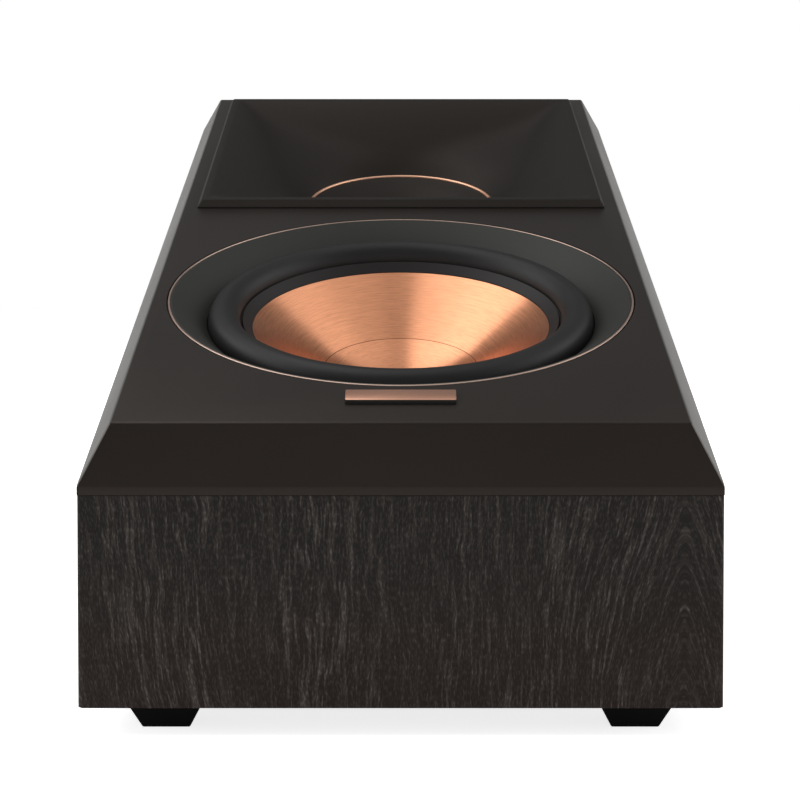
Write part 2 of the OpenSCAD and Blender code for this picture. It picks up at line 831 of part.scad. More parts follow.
module horn_throat() {
    waist = throat_end - throat_straight;
    inner = bow([throat_in, -horn_floor], [throat_in / 2, -horn_floor - 4], [throat_out, -waist], 10);
    outer = bow([throat_in + 1.4, -well_floor], [throat_in / 2 + 5, -well_floor - 6],
        [throat_out + 3.4, 3 - throat_end], 10);
    color([0.1, 0.1, 0.1]) difference() {
        at_horn() rotate_extrude() polygon(concat(
            inner,
            [[throat_out, -throat_end], [tweeter_flange_r, -throat_end], [tweeter_flange_r, 3 - throat_end]],
            back(outer),
            [[throat_flange_r, -well_floor], [throat_flange_r, -horn_floor]]
        ));
        throat_screw_places() screw_hole(throat_screw);
    }
}

module phase_plug() {
    top = throat_end - throat_straight;
    r = throat_out - running;
    rib = 1.6;
    color([0.1, 0.1, 0.1]) at_horn() {
        tube(r, r - 1, -top - 3.5, -top);
        for (a = [0:120:240]) rotate(a)
            translate([plug_r / 2, -0.6, -top - rib]) cube([r - 0.2 - plug_r / 2, 1.2, rib]);
        rotate_extrude() polygon(concat(
            [[0, -top - rib], [plug_r, -top - rib]],
            bow([plug_r, -top], [plug_r * 0.9, -top + plug_h * 0.7], [0, -top + plug_h], 8)
        ));
    }
}

module tweeter_dome() {
    t = 0.3;
    bulge = 4;
    r = (dome_r * dome_r + bulge * bulge) / (2 * bulge);
    steps = [for (i = [0:8]) asin(dome_r / r) * (1 - i / 8)];
    middle = bulge - dome_z - r;
    color([0.75, 0.75, 0.76]) at_horn() rotate_extrude() polygon(concat(
        [[dome_r + 0.6, -dome_z], [dome_r + 0.6, t - dome_z]],
        [for (a = steps) [r * sin(a), middle + r * cos(a) + t]],
        [for (a = back(steps)) [r * sin(a), middle + r * cos(a)]]
    ));
}

module tweeter_coil() {
    color([0.72, 0.42, 0.25]) at_horn()
        tube(tweeter_coil_r + 0.25, tweeter_coil_r - 0.1, -dome_z - tweeter_plate_t - 1, -dome_z);
}

module tweeter_edge() {
    r0 = dome_r + 0.7;
    r1 = throat_out + 3.6;
    t = 0.3;
    color([0.2, 0.2, 0.2]) at_horn() rotate_extrude() {
        translate([r0, -dome_z]) square([0.5, t]);
        translate([r0 + 0.4, -dome_z]) square([throat_out + 0.3 - r0, t]);
        translate([throat_out + 0.5, -throat_end - 1]) square([r1 - throat_out, 1]);
        translate([throat_out + 0.5, -throat_end - 1]) square([0.3, dome_z - throat_end + 0.2 + t]);
    }
}

module tweeter_plate() {
    color([0.55, 0.55, 0.56]) at_horn()
        tube(tweeter_r - 1, tweeter_gap_r, -tweeter_magnet_z, -throat_end - 1);
}

module tweeter_magnet() {
    color([0.2, 0.2, 0.21]) at_horn() tube(tweeter_r, tweeter_gap_r + 6, -tweeter_yoke_z, -tweeter_magnet_z);
}

module tweeter_yoke() {
    color([0.55, 0.55, 0.56]) at_horn() difference() {
        union() {
            translate([0, 0, -chamber_z]) cylinder(r = tweeter_r - 1, h = tweeter_plate_t);
            translate([0, 0, -tweeter_yoke_z - 0.01])
                cylinder(r = dome_r - 0.6, h = tweeter_yoke_z - throat_end - 1);
        }
        translate([0, 0, -chamber_z - cut]) cylinder(r = dome_r / 3, h = chamber_z);
    }
}

module tweeter_chamber() {
    color([0.12, 0.12, 0.12]) at_horn() difference() {
        translate([0, 0, -chamber_z - chamber_l]) cylinder(r = chamber_r, h = chamber_l);
        translate([0, 0, -chamber_z - chamber_l + 1.5]) cylinder(r = chamber_r - 1.5, h = chamber_l);
    }
}

module on_board() {
    cab() translate([-board_w / 2, board_y, board_z + board_t]) children();
}

module board_corners() {
    for (x = [pillar_inset, board_w - pillar_inset], y = [pillar_inset, board_l - pillar_inset])
        on_board() translate([x, y, 0]) children();
}

module board_pillars() {
    color([0.8, 0.8, 0.78]) board_corners() {
        translate([0, 0, -board_t - pillar_h]) cylinder(r = pillar_r, h = pillar_h);
        translate([0, 0, -board_t - 0.01]) cylinder(r = peg_r, h = board_t + 0.01);
        cylinder(r1 = pillar_r - 0.9, r2 = peg_r + 0.4, h = board_t);
    }
}

module crossover_board() {
    color([0.1, 0.3, 0.2]) difference() {
        on_board() translate([0, 0, -board_t]) cube([board_w, board_l, board_t]);
        board_corners() translate([0, 0, -board_t - cut]) cylinder(r = peg_r + 0.05, h = board_t + 2 * cut);
    }
}

// Place on the board at a share of its width and a share of its length
module on_board_at(across, along) {
    on_board() translate([across * board_w, along * board_l, 0]) children();
}

// Coil of wire, lying flat, with its outer radius as a share of the board's length
module coil(share) {
    r = share * board_l;
    tube(r, r * 0.47, 0, r * 0.9);
}

// Capacitor lying on the board, with its radius and length as shares of the board's length
module capacitor(share, length) {
    r = share * board_l;
    translate([0, 0, r]) rotate([0, 90, 0]) cylinder(r = r, h = length * board_l);
}

module crossover_coils() {
    color([0.72, 0.42, 0.25]) {
        on_board_at(0.23, 0.36) coil(0.224);
        on_board_at(0.635, 0.32) coil(0.171);
    }
}

module crossover_capacitors() {
    color([0.75, 0.7, 0.3]) {
        on_board_at(0.163, 0.77) capacitor(0.105, 0.45);
        on_board_at(0.54, 0.66) capacitor(0.086, 0.37);
        on_board_at(0.54, 0.87) capacitor(0.079, 0.34);
    }
}

module crossover_resistors() {
    w = 0.13 * board_l;
    color([0.9, 0.9, 0.88]) for (along = [0.13, 0.32])
        on_board_at(0.82, along) cube([w, w, 2.2 * w]);
}

module terminal_cup() {
    w = cup_w - 2 * cup_margin;
    h = cup_h - 2 * cup_margin;
    slot = slider_w + slider_travel + 0.6;
    color([0.12, 0.12, 0.12]) difference() {
        at_rear(cup_z) difference() {
            union() {
                translate([0, 0, -cup_flange_t]) linear_extrude(cup_flange_t) rounded(cup_w, cup_h, cup_corner);
                translate([0, 0, -cup_depth - cup_floor_t]) linear_extrude(cup_depth + cup_floor_t)
                    rounded(w, h, cup_corner);
            }
            translate([0, 0, -cup_depth]) linear_extrude(cup_depth + cut)
                rounded(w - 2 * cup_wall, h - 2 * cup_wall, cup_corner - 2);
            translate([-slot / 2, switch_rise - slider_h / 2 - 0.3, -cup_depth - cup_floor_t - cut])
                cube([slot, slider_h + 0.6, cup_depth]);
        }
        for (side = [-1, 1]) at_post(side) translate([0, 0, -cup_floor_t - cut])
            cylinder(r = post_r + seat, h = cup_floor_t + 2 * cut);
        cup_screw_places() screw_hole(cup_screw);
    }
}

module rear_screws() {
    color([0.2, 0.2, 0.2]) {
        cup_screw_places() screw(cup_screw);
        key_screw_places() screw(key_screw);
    }
}

module post() {
    difference() {
        union() {
            cylinder(r = post_r + 2.6, h = post_flange_t);
            translate([0, 0, -cup_floor_t - post_tail]) cylinder(r = post_r, h = post_l + cup_floor_t + post_tail);
        }
        translate([0, 0, post_l - 12]) cylinder(r = socket_r, h = 12 + cut);
    }
}

module post_red() {
    color([0.8, 0.65, 0.35]) at_post(-1) post();
}

module post_black() {
    color([0.8, 0.65, 0.35]) at_post(1) post();
}

module post_nuts() {
    color([0.8, 0.65, 0.35]) for (side = [-1, 1]) at_post(side)
        translate([0, 0, -cup_floor_t - 2.4]) difference() {
            cylinder(r = post_r + 2.2, h = 2.4, $fn = 6);
            translate([0, 0, -cut]) cylinder(r = post_r + running, h = 2.4 + 2 * cut, $fn = 48);
        }
}

module cap_bush() {
    tube(bush_out, post_r + running, cap_rest, cap_rest + cap_l - 2);
}

module cap_shell() {
    flutes = 16;
    difference() {
        translate([0, 0, cap_rest]) cylinder(r = cap_shell_r, h = cap_l);
        translate([0, 0, cap_rest - cut]) cylinder(r = bush_out + running, h = cap_l - 2 + running + cut);
        cylinder(r = post_r + 0.3, h = cap_rest + cap_l + cut);
        for (i = [0:flutes - 1]) rotate(360 * i / flutes)
            translate([cap_shell_r + 0.35, 0, cap_rest + 3]) cylinder(r = 0.8, h = cap_l);
    }
}

module cap_bush_red() {
    color([0.8, 0.65, 0.35]) at_post(-1) cap_bush();
}

module cap_bush_black() {
    color([0.8, 0.65, 0.35]) at_post(1) cap_bush();
}

module cap_red() {
    color([0.7, 0.08, 0.08]) at_post(-1) cap_shell();
}

module cap_black() {
    color([0.08, 0.08, 0.08]) at_post(1) cap_shell();
}

module at_switch() {
    at_rear(cup_z) translate([0, switch_rise, -cup_depth]) children();
}

module switch_body() {
    half_w = slider_w / 2 + slider_travel / 2 + 3;
    half_h = slider_h / 2 + 2;
    top = -cup_floor_t;
    color([0.6, 0.6, 0.6]) at_switch() difference() {
        block(half_w, half_h, top - switch_depth, top);
        block(half_w - 1.5, half_h - 1.2, top - switch_depth + 1.5, cut);
    }
}

module switch_slider() {
    base = -cup_floor_t - switch_depth + 1.5 + running;
    color([0.9, 0.9, 0.88]) at_switch() translate([-slider_travel / 2, 0, 0])
        block(slider_w / 2, slider_h / 2, base, 1.6);
}

module keyhole_plate() {
    color([0.6, 0.6, 0.6]) difference() {
        at_rear(key_z) difference() {
            translate([0, key_rise, -key_plate_t]) linear_extrude(key_plate_t) rounded(key_w, key_h, 3);
            translate([0, 0, -key_plate_t - cut]) {
                cylinder(r = key_r, h = key_plate_t + 2 * cut);
                translate([0, key_slot_l, 0]) cylinder(r = key_slot_r, h = key_plate_t + 2 * cut);
                translate([-key_slot_r, 0, 0]) cube([2 * key_slot_r, key_slot_l, key_plate_t + 2 * cut]);
            }
        }
        key_screw_places() screw_hole(key_screw);
    }
}

// Round wire along a smooth path of a few chosen points
module wire(points, r) {
    n = 6;
    path = smooth(points, 4);
    rings = [
        for (i = [0:len(path) - 1]) let (t = tangent(path, i), s = side_of(t, [0.3, 0.1, 1]), u = cross(t, s))
            [for (k = [0:n - 1]) path[i] + r * (cos(360 * k / n) * s + sin(360 * k / n) * u)]
    ];
    m = len(rings);
    polyhedron(
        points = [for (ring = rings, p = ring) p],
        faces = concat(
            [[for (k = [n - 1:-1:0]) k], [for (k = [0:n - 1]) (m - 1) * n + k]],
            [for (j = [0:m - 2], k = [0:n - 1]) let (a = j * n, b = a + n, q = (k + 1) % n)
                each [[a + k, a + q, b + q], [a + k, b + q, b + k]]]
        )
    );
}

// Leads of the woofer, the tweeter and the binding posts, in the frame of the cabinet
module wiring() {
    land = board_top + 0.25;
    bend = 5 * lead_r;
    lift = land + bend;
    middle = brace_y + brace_t / 2;
    lug = from_woofer([lug_x, lug_y + lug_l + 0.6, lug_z]);
    rim = from_horn([lug_x, -tweeter_r, 2 - tweeter_magnet_z]);
    tail = [post_pitch / 2, body_d - cup_depth - cup_floor_t - post_tail - 0.3, cup_z + post_drop];
    woofer_end = board_y + 0.05 * board_l;
    tweeter_end = board_y + 0.57 * board_l;
    input_end = board_y + 0.95 * board_l;
    color([0.6, 0.1, 0.1]) cab() for (s = [-1, 1]) {
        wire([[lug[0] * s, lug[1], lug[2]], [lug[0] * s, lug[1] + bend, lug[2] + 2],
            [lug[0] * s, brace_y - bend, lug[2] - 4], [4 * s - 2, middle, window_z + 3],
            [3 * s - 4, board_y - 3, (window_z + 2 * lift) / 3], [3 * s - 5, woofer_end, lift],
            [3 * s - 5, woofer_end, land]], lead_r);
        wire([[rim[0] * s, rim[1] - 1.2, rim[2]], [rim[0] * s, rim[1] - bend, rim[2] - 2],
            [rim[0] * s, rim[1] - 2 * bend, rim[2] - 3 * bend], [4 * s - 2, rim[1] - bend, window_z],
            [2 * s - 3, tweeter_end, lift + 3], [2 * s - 3, tweeter_end, land]], lead_r);
        wire([[tail[0] * s, tail[1], tail[2]], [tail[0] * s, tail[1] - bend, tail[2] - 0.4],
            [8 * s, tail[1] - 2.5 * bend, tail[2] - 5], [4 * s - 8, input_end + 2, lift + 4],
            [4 * s - 8, input_end, lift], [4 * s - 8, input_end, land]], lead_r);
    }
}

module badge_bar() {
    color([0.78, 0.56, 0.46]) slope() translate([-bar_w / 2, bar_y - bar_l / 2, slab_t])
        cube([bar_w, bar_l, bar_t]);
}

front_panel();
left_panel();
right_panel();
bottom_panel();
rear_panel();
baffle();
cabinet_brace();
damping_wool();
foot_front_left();
foot_front_right();
foot_rear_left();
foot_rear_right();
foot_screws();
woofer_basket();
driver_gaskets();
woofer_bezel();
accent_ring();
woofer_surround();
woofer_cone();
dust_cap();
coil_former();
voice_coil();
spider();
front_plate();
magnet();
pole_yoke();
woofer_screws();
woofer_terminals();
horn();
horn_chassis();
horn_screws();
throat_ring();
horn_throat();
phase_plug();
tweeter_dome();
tweeter_coil();
tweeter_edge();
tweeter_plate();
tweeter_magnet();
tweeter_yoke();
tweeter_chamber();
board_pillars();
crossover_board();
crossover_coils();
crossover_capacitors();
crossover_resistors();
terminal_cup();
rear_screws();
post_red();
post_black();
post_nuts();
cap_bush_red();
cap_bush_black();
cap_red();
cap_black();
switch_body();
switch_slider();
keyhole_plate();
wiring();
badge_bar();
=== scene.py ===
"""Looks of a wedge-shaped surround speaker: veneered cabinet, bevelled baffle, spun copper woofer and square horn."""

from __future__ import annotations

import json
import logging
import math
from collections.abc import Callable, Sequence
from dataclasses import dataclass, field
from enum import Enum

import bmesh
import bpy
import numpy as np
from mathutils import Matrix, Vector


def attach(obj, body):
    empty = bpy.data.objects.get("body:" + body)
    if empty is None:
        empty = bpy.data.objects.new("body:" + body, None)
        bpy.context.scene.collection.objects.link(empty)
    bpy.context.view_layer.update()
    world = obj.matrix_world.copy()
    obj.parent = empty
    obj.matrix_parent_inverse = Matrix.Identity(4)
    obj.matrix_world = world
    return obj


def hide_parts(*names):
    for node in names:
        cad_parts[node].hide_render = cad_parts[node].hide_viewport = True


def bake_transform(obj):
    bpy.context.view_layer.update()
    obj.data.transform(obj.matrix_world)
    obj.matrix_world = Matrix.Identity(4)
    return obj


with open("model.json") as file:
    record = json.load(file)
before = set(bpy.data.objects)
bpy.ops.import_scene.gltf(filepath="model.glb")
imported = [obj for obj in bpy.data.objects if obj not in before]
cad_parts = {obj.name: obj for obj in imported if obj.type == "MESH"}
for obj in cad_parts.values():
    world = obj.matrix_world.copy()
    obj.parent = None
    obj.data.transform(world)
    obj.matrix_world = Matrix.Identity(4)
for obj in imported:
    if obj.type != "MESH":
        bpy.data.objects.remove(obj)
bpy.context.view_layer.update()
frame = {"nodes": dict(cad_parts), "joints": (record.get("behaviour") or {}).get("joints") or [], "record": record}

log = logging.getLogger("surround_speaker")

MM = 0.001
CABINET = "cabinet"

Point = tuple[float, float]
Ring = list[tuple[float, float, float]]
Socket = bpy.types.NodeSocket


class Body(Enum):
    """Bodies of the frame that pieces ride on."""

    CABINET = "cabinet"
    CONE = "woofer_diaphragm"
    DOME = "tweeter_diaphragm"
    KNOB_RED = "knob_red"
    KNOB_BLACK = "knob_black"
    SLIDER = "mode_slider"


@dataclass(frozen=True)
class Axis:
    """A driver's own frame: its centre on the baffle's face and the way it looks out.

    Attributes:
        centre: Point of the axis in the plane of the face, in metres.
        out: Unit vector out of the baffle.
    """

    centre: Vector
    out: Vector

    @property
    def up(self) -> Vector:
        """Direction up the slope of the baffle."""
        return Vector((0.0, self.out.z, -self.out.y))

    def place(self, x: float, y: float, z: float) -> Vector:
        """Point of the row frame.

        Args:
            x: Millimetres across.
            y: Millimetres up the slope.
            z: Millimetres out of the face.

        Returns:
            The same point in metres.
        """
        return self.centre + MM * (Vector((x, 0.0, 0.0)) + y * self.up + z * self.out)


OUT = Vector(next(j for j in frame["joints"] if j["name"] == "woofer_travel")["axis"]).normalized()
SLOT_OF = {part["node"]: part["material_slot"] for part in frame["record"]["subparts"]}


def curve(p0: Point, p1: Point, p2: Point, steps: int) -> list[Point]:
    """Points of a quadratic curve.

    Args:
        p0: Start of the curve.
        p1: Point that it bends towards.
        p2: End of the curve.
        steps: Number of stretches.

    Returns:
        The points, both ends included.
    """
    share = [i / steps for i in range(steps + 1)]
    return [tuple((1 - t) ** 2 * a + 2 * t * (1 - t) * b + t * t * c for a, b, c in zip(p0, p1, p2)) for t in share]


def arc(centre: Point, radius: float, start: float, end: float, steps: int) -> list[Point]:
    """Points of an arc.

    Args:
        centre: Centre of the arc.
        radius: Its radius.
        start: First angle in degrees.
        end: Last angle in degrees.
        steps: Number of stretches.

    Returns:
        The points, both ends included.
    """
    angles = np.radians(np.linspace(start, end, steps + 1))
    return [(centre[0] + radius * math.cos(a), centre[1] + radius * math.sin(a)) for a in angles]


def new_object(name: str, mesh: bpy.types.Mesh) -> bpy.types.Object:
    """Object for a mesh, linked to the scene.

    Args:
        name: Name of the piece.
        mesh: Its mesh, with its place in its vertices.

    Returns:
        The new object, at the origin.
    """
    made = bpy.data.objects.new(name, mesh)
    bpy.context.scene.collection.objects.link(made)
    return made


def mesh_from(name: str, points: Sequence[Sequence[float]], faces: Sequence[Sequence[int]]) -> bpy.types.Mesh:
    """Mesh with its doubles merged and its faces turned outwards.

    Args:
        name: Name of the mesh.
        points: Vertices in metres.
        faces: Vertex numbers of each face.

    Returns:
        The mesh.
    """
    mesh = bpy.data.meshes.new(name)
    mesh.from_pydata([tuple(p) for p in points], [], [tuple(f) for f in faces])
    work = bmesh.new()
    work.from_mesh(mesh)
    bmesh.ops.remove_doubles(work, verts=work.verts, dist=1e-7)
    bmesh.ops.recalc_face_normals(work, faces=work.faces)
    work.to_mesh(mesh)
    work.free()
    return mesh


def smooth(mesh: bpy.types.Mesh, angle: float = 30.0) -> None:
    """Smooth shading that keeps the edges sharper than an angle.

    Args:
        mesh: Mesh to shade.
        angle: Limit in degrees.
    """
    mesh.polygons.foreach_set("use_smooth", [True] * len(mesh.polygons))
    mesh.set_sharp_from_angle(angle=math.radians(angle))


def turned(
    name: str, axis: Axis, profile: Sequence[Point], segments: int = 256,
    sweep: tuple[float, float] = (0.0, 360.0), closed: bool = True,
) -> bpy.types.Mesh:
    """Turned shape about a driver's axis, with a UV map of angle and length along the profile.

    Args:
        name: Name of the mesh.
        axis: Axis to turn about.
        profile: Radius and height of each point, in millimetres.
        segments: Number of steps round.
        sweep: First and last angle in degrees.
        closed: Whether the profile's last point joins its first.

    Returns:
        The mesh.
    """
    full = abs(sweep[1] - sweep[0]) >= 360.0
    count = len(profile)
    angles = np.radians(np.linspace(sweep[0], sweep[1], segments + 1))
    points, faces = [], []
    for a in angles:
        points += [axis.place(r * math.cos(a), r * math.sin(a), z) for r, z in profile]
    spans = count if closed else count - 1
    for i in range(segments):
        for k in range(spans):
            a, b = i * count + k, i * count + (k + 1) % count
            faces.append((a, a + count, b + count, b))
    if closed and not full:
        faces += [tuple(range(count))[::-1], tuple(segments * count + k for k in range(count))]
    mesh = bpy.data.meshes.new(name)
    mesh.from_pydata([tuple(p) for p in points], [], faces)
    run = np.concatenate([[0.0], np.cumsum(np.hypot(*np.diff(np.array(list(profile) + [profile[0]]), axis=0).T))])
    layer = mesh.uv_layers.new(name="turning")
    for polygon in mesh.polygons:
        for loop in polygon.loop_indices:
            number = mesh.loops[loop].vertex_index
            layer.data[loop].uv = (run[number % count] / 100, number // count / segments)
    work = bmesh.new()
    work.from_mesh(mesh)
    bmesh.ops.remove_doubles(work, verts=work.verts, dist=1e-7)
    bmesh.ops.dissolve_degenerate(work, edges=work.edges, dist=1e-8)
    bmesh.ops.recalc_face_normals(work, faces=work.faces)
    if not closed:
        top = max(work.faces, key=lambda f: f.calc_center_median().dot(axis.out))
        if top.normal.dot(axis.out) < 0:
            bmesh.ops.reverse_faces(work, faces=work.faces)
    work.to_mesh(mesh)
    work.free()
    smooth(mesh)
    return mesh


@dataclass(frozen=True)
class Sizes:
    """Sizes of the cabinet and the pieces on it, in millimetres, measured as on the construction model."""

    width: float = 175.0
    depth: float = 327.5
    front_height: float = 57.7
    tilt: float = 20.0
    wall: float = 15.0
    slab: float = 17.6
    slab_edge: float = 3.0
    side_bevel: float = 8.5
    front_bevel: float = 2.6
    rear_bevel: float = 7.5
    foot: float = 8.0

    @property
    def slope(self) -> float:
        """Slope of the baffle in radians."""
        return math.radians(self.tilt)

    @property
    def rear_height(self) -> float:
        """Height of the wooden part at the rear."""
        return self.front_height + self.depth * math.tan(self.slope)

    @property
    def face_front(self) -> float:
        """Where the flat face begins, along the slope."""
        return (self.front_bevel + self.slab * math.sin(self.slope)) / math.cos(self.slope)

    @property
    def face_rear(self) -> float:
        """Where the flat face ends, along the slope."""
        return (self.depth - self.rear_bevel + self.slab * math.sin(self.slope)) / math.cos(self.slope)


SIZES = Sizes()


def in_cabinet(x: float, y: float, z: float) -> Vector:
    """Point of the row frame from the cabinet's own frame.

    Args:
        x: Millimetres to the right of the middle.
        y: Millimetres behind the front.
        z: Millimetres above the cabinet's underside.

    Returns:
        The point in metres.
    """
    return MM * Vector((x, y - SIZES.depth / 2, z + SIZES.foot))


def on_slope(x: float, y: float, z: float) -> Vector:
    """Point of the row frame from the frame that lies on the wooden part's sloping top.

    Args:
        x: Millimetres to the right of the middle.
        y: Millimetres up the slope.
        z: Millimetres above the slope.

    Returns:
        The point in metres.
    """
    c, s = math.cos(SIZES.slope), math.sin(SIZES.slope)
    return in_cabinet(x, y * c - z * s, SIZES.front_height + y * s + z * c)


def at_rear(x: float, y: float, z: float, height: float) -> Vector:
    """Point of the row frame from a frame on the rear face, as it is seen from behind.

    Args:
        x: Millimetres to the right.
        y: Millimetres up from the frame's height.
        z: Millimetres out of the face.
        height: Height of the frame above the cabinet's underside.

    Returns:
        The point in metres.
    """
    return in_cabinet(-x, SIZES.depth + z, height + y)


def prism(outline: Sequence[Point], low: float, high: float) -> tuple[list[tuple[float, float, float]], list[list[int]]]:
    """Upright prism over an outline.

    Args:
        outline: Corners in order.
        low: Height of the underside.
        high: Height of the top.

    Returns:
        Its points and faces.
    """
    n = len(outline)
    points = [(x, y, low) for x, y in outline] + [(x, y, high) for x, y in outline]
    faces = [[i, (i + 1) % n, n + (i + 1) % n, n + i] for i in range(n)]
    return points, faces + [list(range(n))[::-1], [n + i for i in range(n)]]


def rounded_box(low: Sequence[float], high: Sequence[float], radius: float, steps: int = 3) -> bmesh.types.BMesh:
    """Box with all its edges rounded, in millimetres.

    Args:
        low: Lowest corner.
        high: Highest corner.
        radius: Radius of the edges.
        steps: Stretches across each rounding.

    Returns:
        The working mesh.
    """
    work = bmesh.new()
    bmesh.ops.create_cube(work, size=1.0)
    for vert in work.verts:
        vert.co = Vector([(a + b) / 2 + c * (b - a) for a, b, c in zip(low, high, vert.co)])
    bmesh.ops.bevel(work, geom=work.edges[:], offset=radius, segments=steps, profile=0.5, affect="EDGES")
    return work


def placed(name: str, work: bmesh.types.BMesh, place: Callable[..., Vector], angle: float = 30.0) -> bpy.types.Mesh:
    """Mesh from a working mesh in millimetres, put in the row frame.

    Args:
        name: Name of the mesh.
        work: The working mesh, which is freed.
        place: Function from its frame to the row frame.
        angle: Limit of smooth shading in degrees.

    Returns:
        The finished mesh.
    """
    for vert in work.verts:
        vert.co = place(*vert.co)
    bmesh.ops.recalc_face_normals(work, faces=work.faces)
    mesh = bpy.data.meshes.new(name)
    work.to_mesh(mesh)
    work.free()
    smooth(mesh, angle)
    return mesh


def cut_away(mesh: bpy.types.Mesh, cutters: Sequence[bpy.types.Mesh]) -> bpy.types.Mesh:
    """Mesh with others cut out of it.

    Args:
        mesh: Mesh to cut.
        cutters: Closed meshes to take away.

    Returns:
        The cut mesh.
    """
    target = new_object(mesh.name, mesh)
    tools = [new_object("cutter", cutter) for cutter in cutters]
    for tool in tools:
        modifier = target.modifiers.new("cut", "BOOLEAN")
        modifier.operation = "DIFFERENCE"
        modifier.solver = "EXACT"
        modifier.object = tool
    bpy.context.view_layer.update()
    evaluated = target.evaluated_get(bpy.context.evaluated_depsgraph_get())
    result = bpy.data.meshes.new_from_object(evaluated)
    result.name = mesh.name
    for tool in [*tools, target]:
        bpy.data.objects.remove(tool)
    return result


def srgb(red: float, green: float, blue: float) -> tuple[float, float, float, float]:
    """Linear colour of a colour as a screen shows it.

    Args:
        red: Red, 0 to 255.
        green: Green, 0 to 255.
        blue: Blue, 0 to 255.

    Returns:
        The linear colour with full alpha.
    """
    shares = [c / 255 for c in (red, green, blue)]
    return (*[s / 12.92 if s <= 0.04045 else ((s + 0.055) / 1.055) ** 2.4 for s in shares], 1.0)


class Graph:
    """Small helper that adds nodes to a tree and joins them."""

    def __init__(self, tree: bpy.types.NodeTree) -> None:
        """Wrap a tree.

        Args:
            tree: Tree to build in.
        """
        self.tree = tree

    def add(self, kind: str, inputs: dict | None = None, **settings: object) -> bpy.types.Node:
        """Add a node.

        Args:
            kind: Type of the node.
            inputs: Value or socket for each of its inputs, by name or number.
            **settings: Properties of the node.

        Returns:
            The node.
        """
        node = self.tree.nodes.new(kind)
        for key, value in settings.items():
            setattr(node, key, value)
        for key, value in (inputs or {}).items():
            if isinstance(value, Socket):
                self.tree.links.new(value, node.inputs[key])
            else:
                node.inputs[key].default_value = value
        return node

    def math(self, operation: str, *values: float | Socket, clamp: bool = False) -> Socket:
        """Add a math node.

        Args:
            operation: Its operation.
            *values: Values or sockets.
            clamp: Whether the result stays between 0 and 1.

        Returns:
            Its result.
        """
        return self.add("ShaderNodeMath", dict(enumerate(values)), operation=operation, use_clamp=clamp).outputs[0]

    def noise(self, vector: Socket, scale: float | Socket, detail: float = 2.0, rough: float = 0.5) -> Socket:
        """Add a noise texture.

        Args:
            vector: Coordinates.
            scale: Cells per unit.
            detail: Number of octaves.
            rough: Share of the finer octaves.

        Returns:
            Its value.
        """
        inputs = {"Vector": vector, "Scale": scale, "Detail": detail, "Roughness": rough}
        return self.add("ShaderNodeTexNoise", inputs).outputs[0]

    def span(self, value: Socket, low: float | Socket, high: float | Socket, to_low: float | Socket = 0.0,
             to_high: float | Socket = 1.0) -> Socket:
        """Add a smooth map range.

        Args:
            value: Value to map.
            low: Start of the range it comes from.
            high: End of that range.
            to_low: Result at the start.
            to_high: Result at the end.

        Returns:
            The mapped value.
        """
        inputs = {0: value, 1: low, 2: high, 3: to_low, 4: to_high}
        return self.add("ShaderNodeMapRange", inputs, interpolation_type="SMOOTHSTEP").outputs[0]

    def mix(self, share: float | Socket, first: object, second: object) -> Socket:
        """Add a colour mix.

        Args:
            share: Share of the second colour.
            first: First colour or socket.
            second: Second colour or socket.

        Returns:
            The mixed colour.
        """
        node = self.add("ShaderNodeMix", {"Factor": share}, data_type="RGBA")
        for socket, value in ((node.inputs[6], first), (node.inputs[7], second)):
            if isinstance(value, Socket):
                self.tree.links.new(value, socket)
            else:
                socket.default_value = value
        return node.outputs[2]

    def scaled(self, vector: Socket, x: float, y: float, z: float) -> Socket:
        """Add a scaling of coordinates.

        Args:
            vector: Coordinates.
            x: Scale along X.
            y: Scale along Y.
            z: Scale along Z.

        Returns:
            The scaled coordinates.
        """
        return self.add("ShaderNodeVectorMath", {0: vector, 1: (x, y, z)}, operation="MULTIPLY").outputs[0]


def new_group(name: str, inputs: dict[str, str], outputs: dict[str, str]) -> tuple[Graph, bpy.types.Node, bpy.types.Node]:
    """Start a shader node group.

    Args:
        name: Name of the group.
        inputs: Socket type of each input.
        outputs: Socket type of each output.

    Returns:
        Its graph, its input node and its output node.
    """
    tree = bpy.data.node_groups.new(name, "ShaderNodeTree")
    for label, kind in inputs.items():
        tree.interface.new_socket(name=label, in_out="INPUT", socket_type=kind)
    for label, kind in outputs.items():
        tree.interface.new_socket(name=label, in_out="OUTPUT", socket_type=kind)
    graph = Graph(tree)
    return graph, graph.add("NodeGroupInput"), graph.add("NodeGroupOutput")


def surface_group() -> bpy.types.NodeTree:
    """Group that varies a plain finish: broad tone, fine grain and a height for its bump.

    Returns:
        The group.
    """
    g, come, go = new_group(
        "surface_variation",
        {"Vector": "NodeSocketVector", "Base": "NodeSocketColor", "Tone": "NodeSocketFloat", "Grain": "NodeSocketFloat",
         "Roughness": "NodeSocketFloat", "Spread": "NodeSocketFloat"},
        {"Color": "NodeSocketColor", "Roughness": "NodeSocketFloat", "Height": "NodeSocketFloat"},
    )
    broad = g.noise(come.outputs["Vector"], 22.0, 3.0)
    fine = g.noise(come.outputs["Vector"], come.outputs["Grain"], 3.0, 0.6)
    both = g.math("ADD", g.math("MULTIPLY", broad, 0.55), g.math("MULTIPLY", fine, 0.45))
    shade = g.span(both, 0.3, 0.7, g.math("SUBTRACT", 1.0, come.outputs["Tone"]), g.math("ADD", 1.0, come.outputs["Tone"]))
    tinted = g.add("ShaderNodeVectorMath", {0: come.outputs["Base"], "Scale": shade}, operation="SCALE").outputs[0]
    rough = g.math("ADD", come.outputs["Roughness"], g.math("MULTIPLY", come.outputs["Spread"], g.math("SUBTRACT", broad, 0.5)))
    links = g.tree.links
    links.new(tinted, go.inputs["Color"])
    links.new(rough, go.inputs["Roughness"])
    links.new(fine, go.inputs["Height"])
    return g.tree


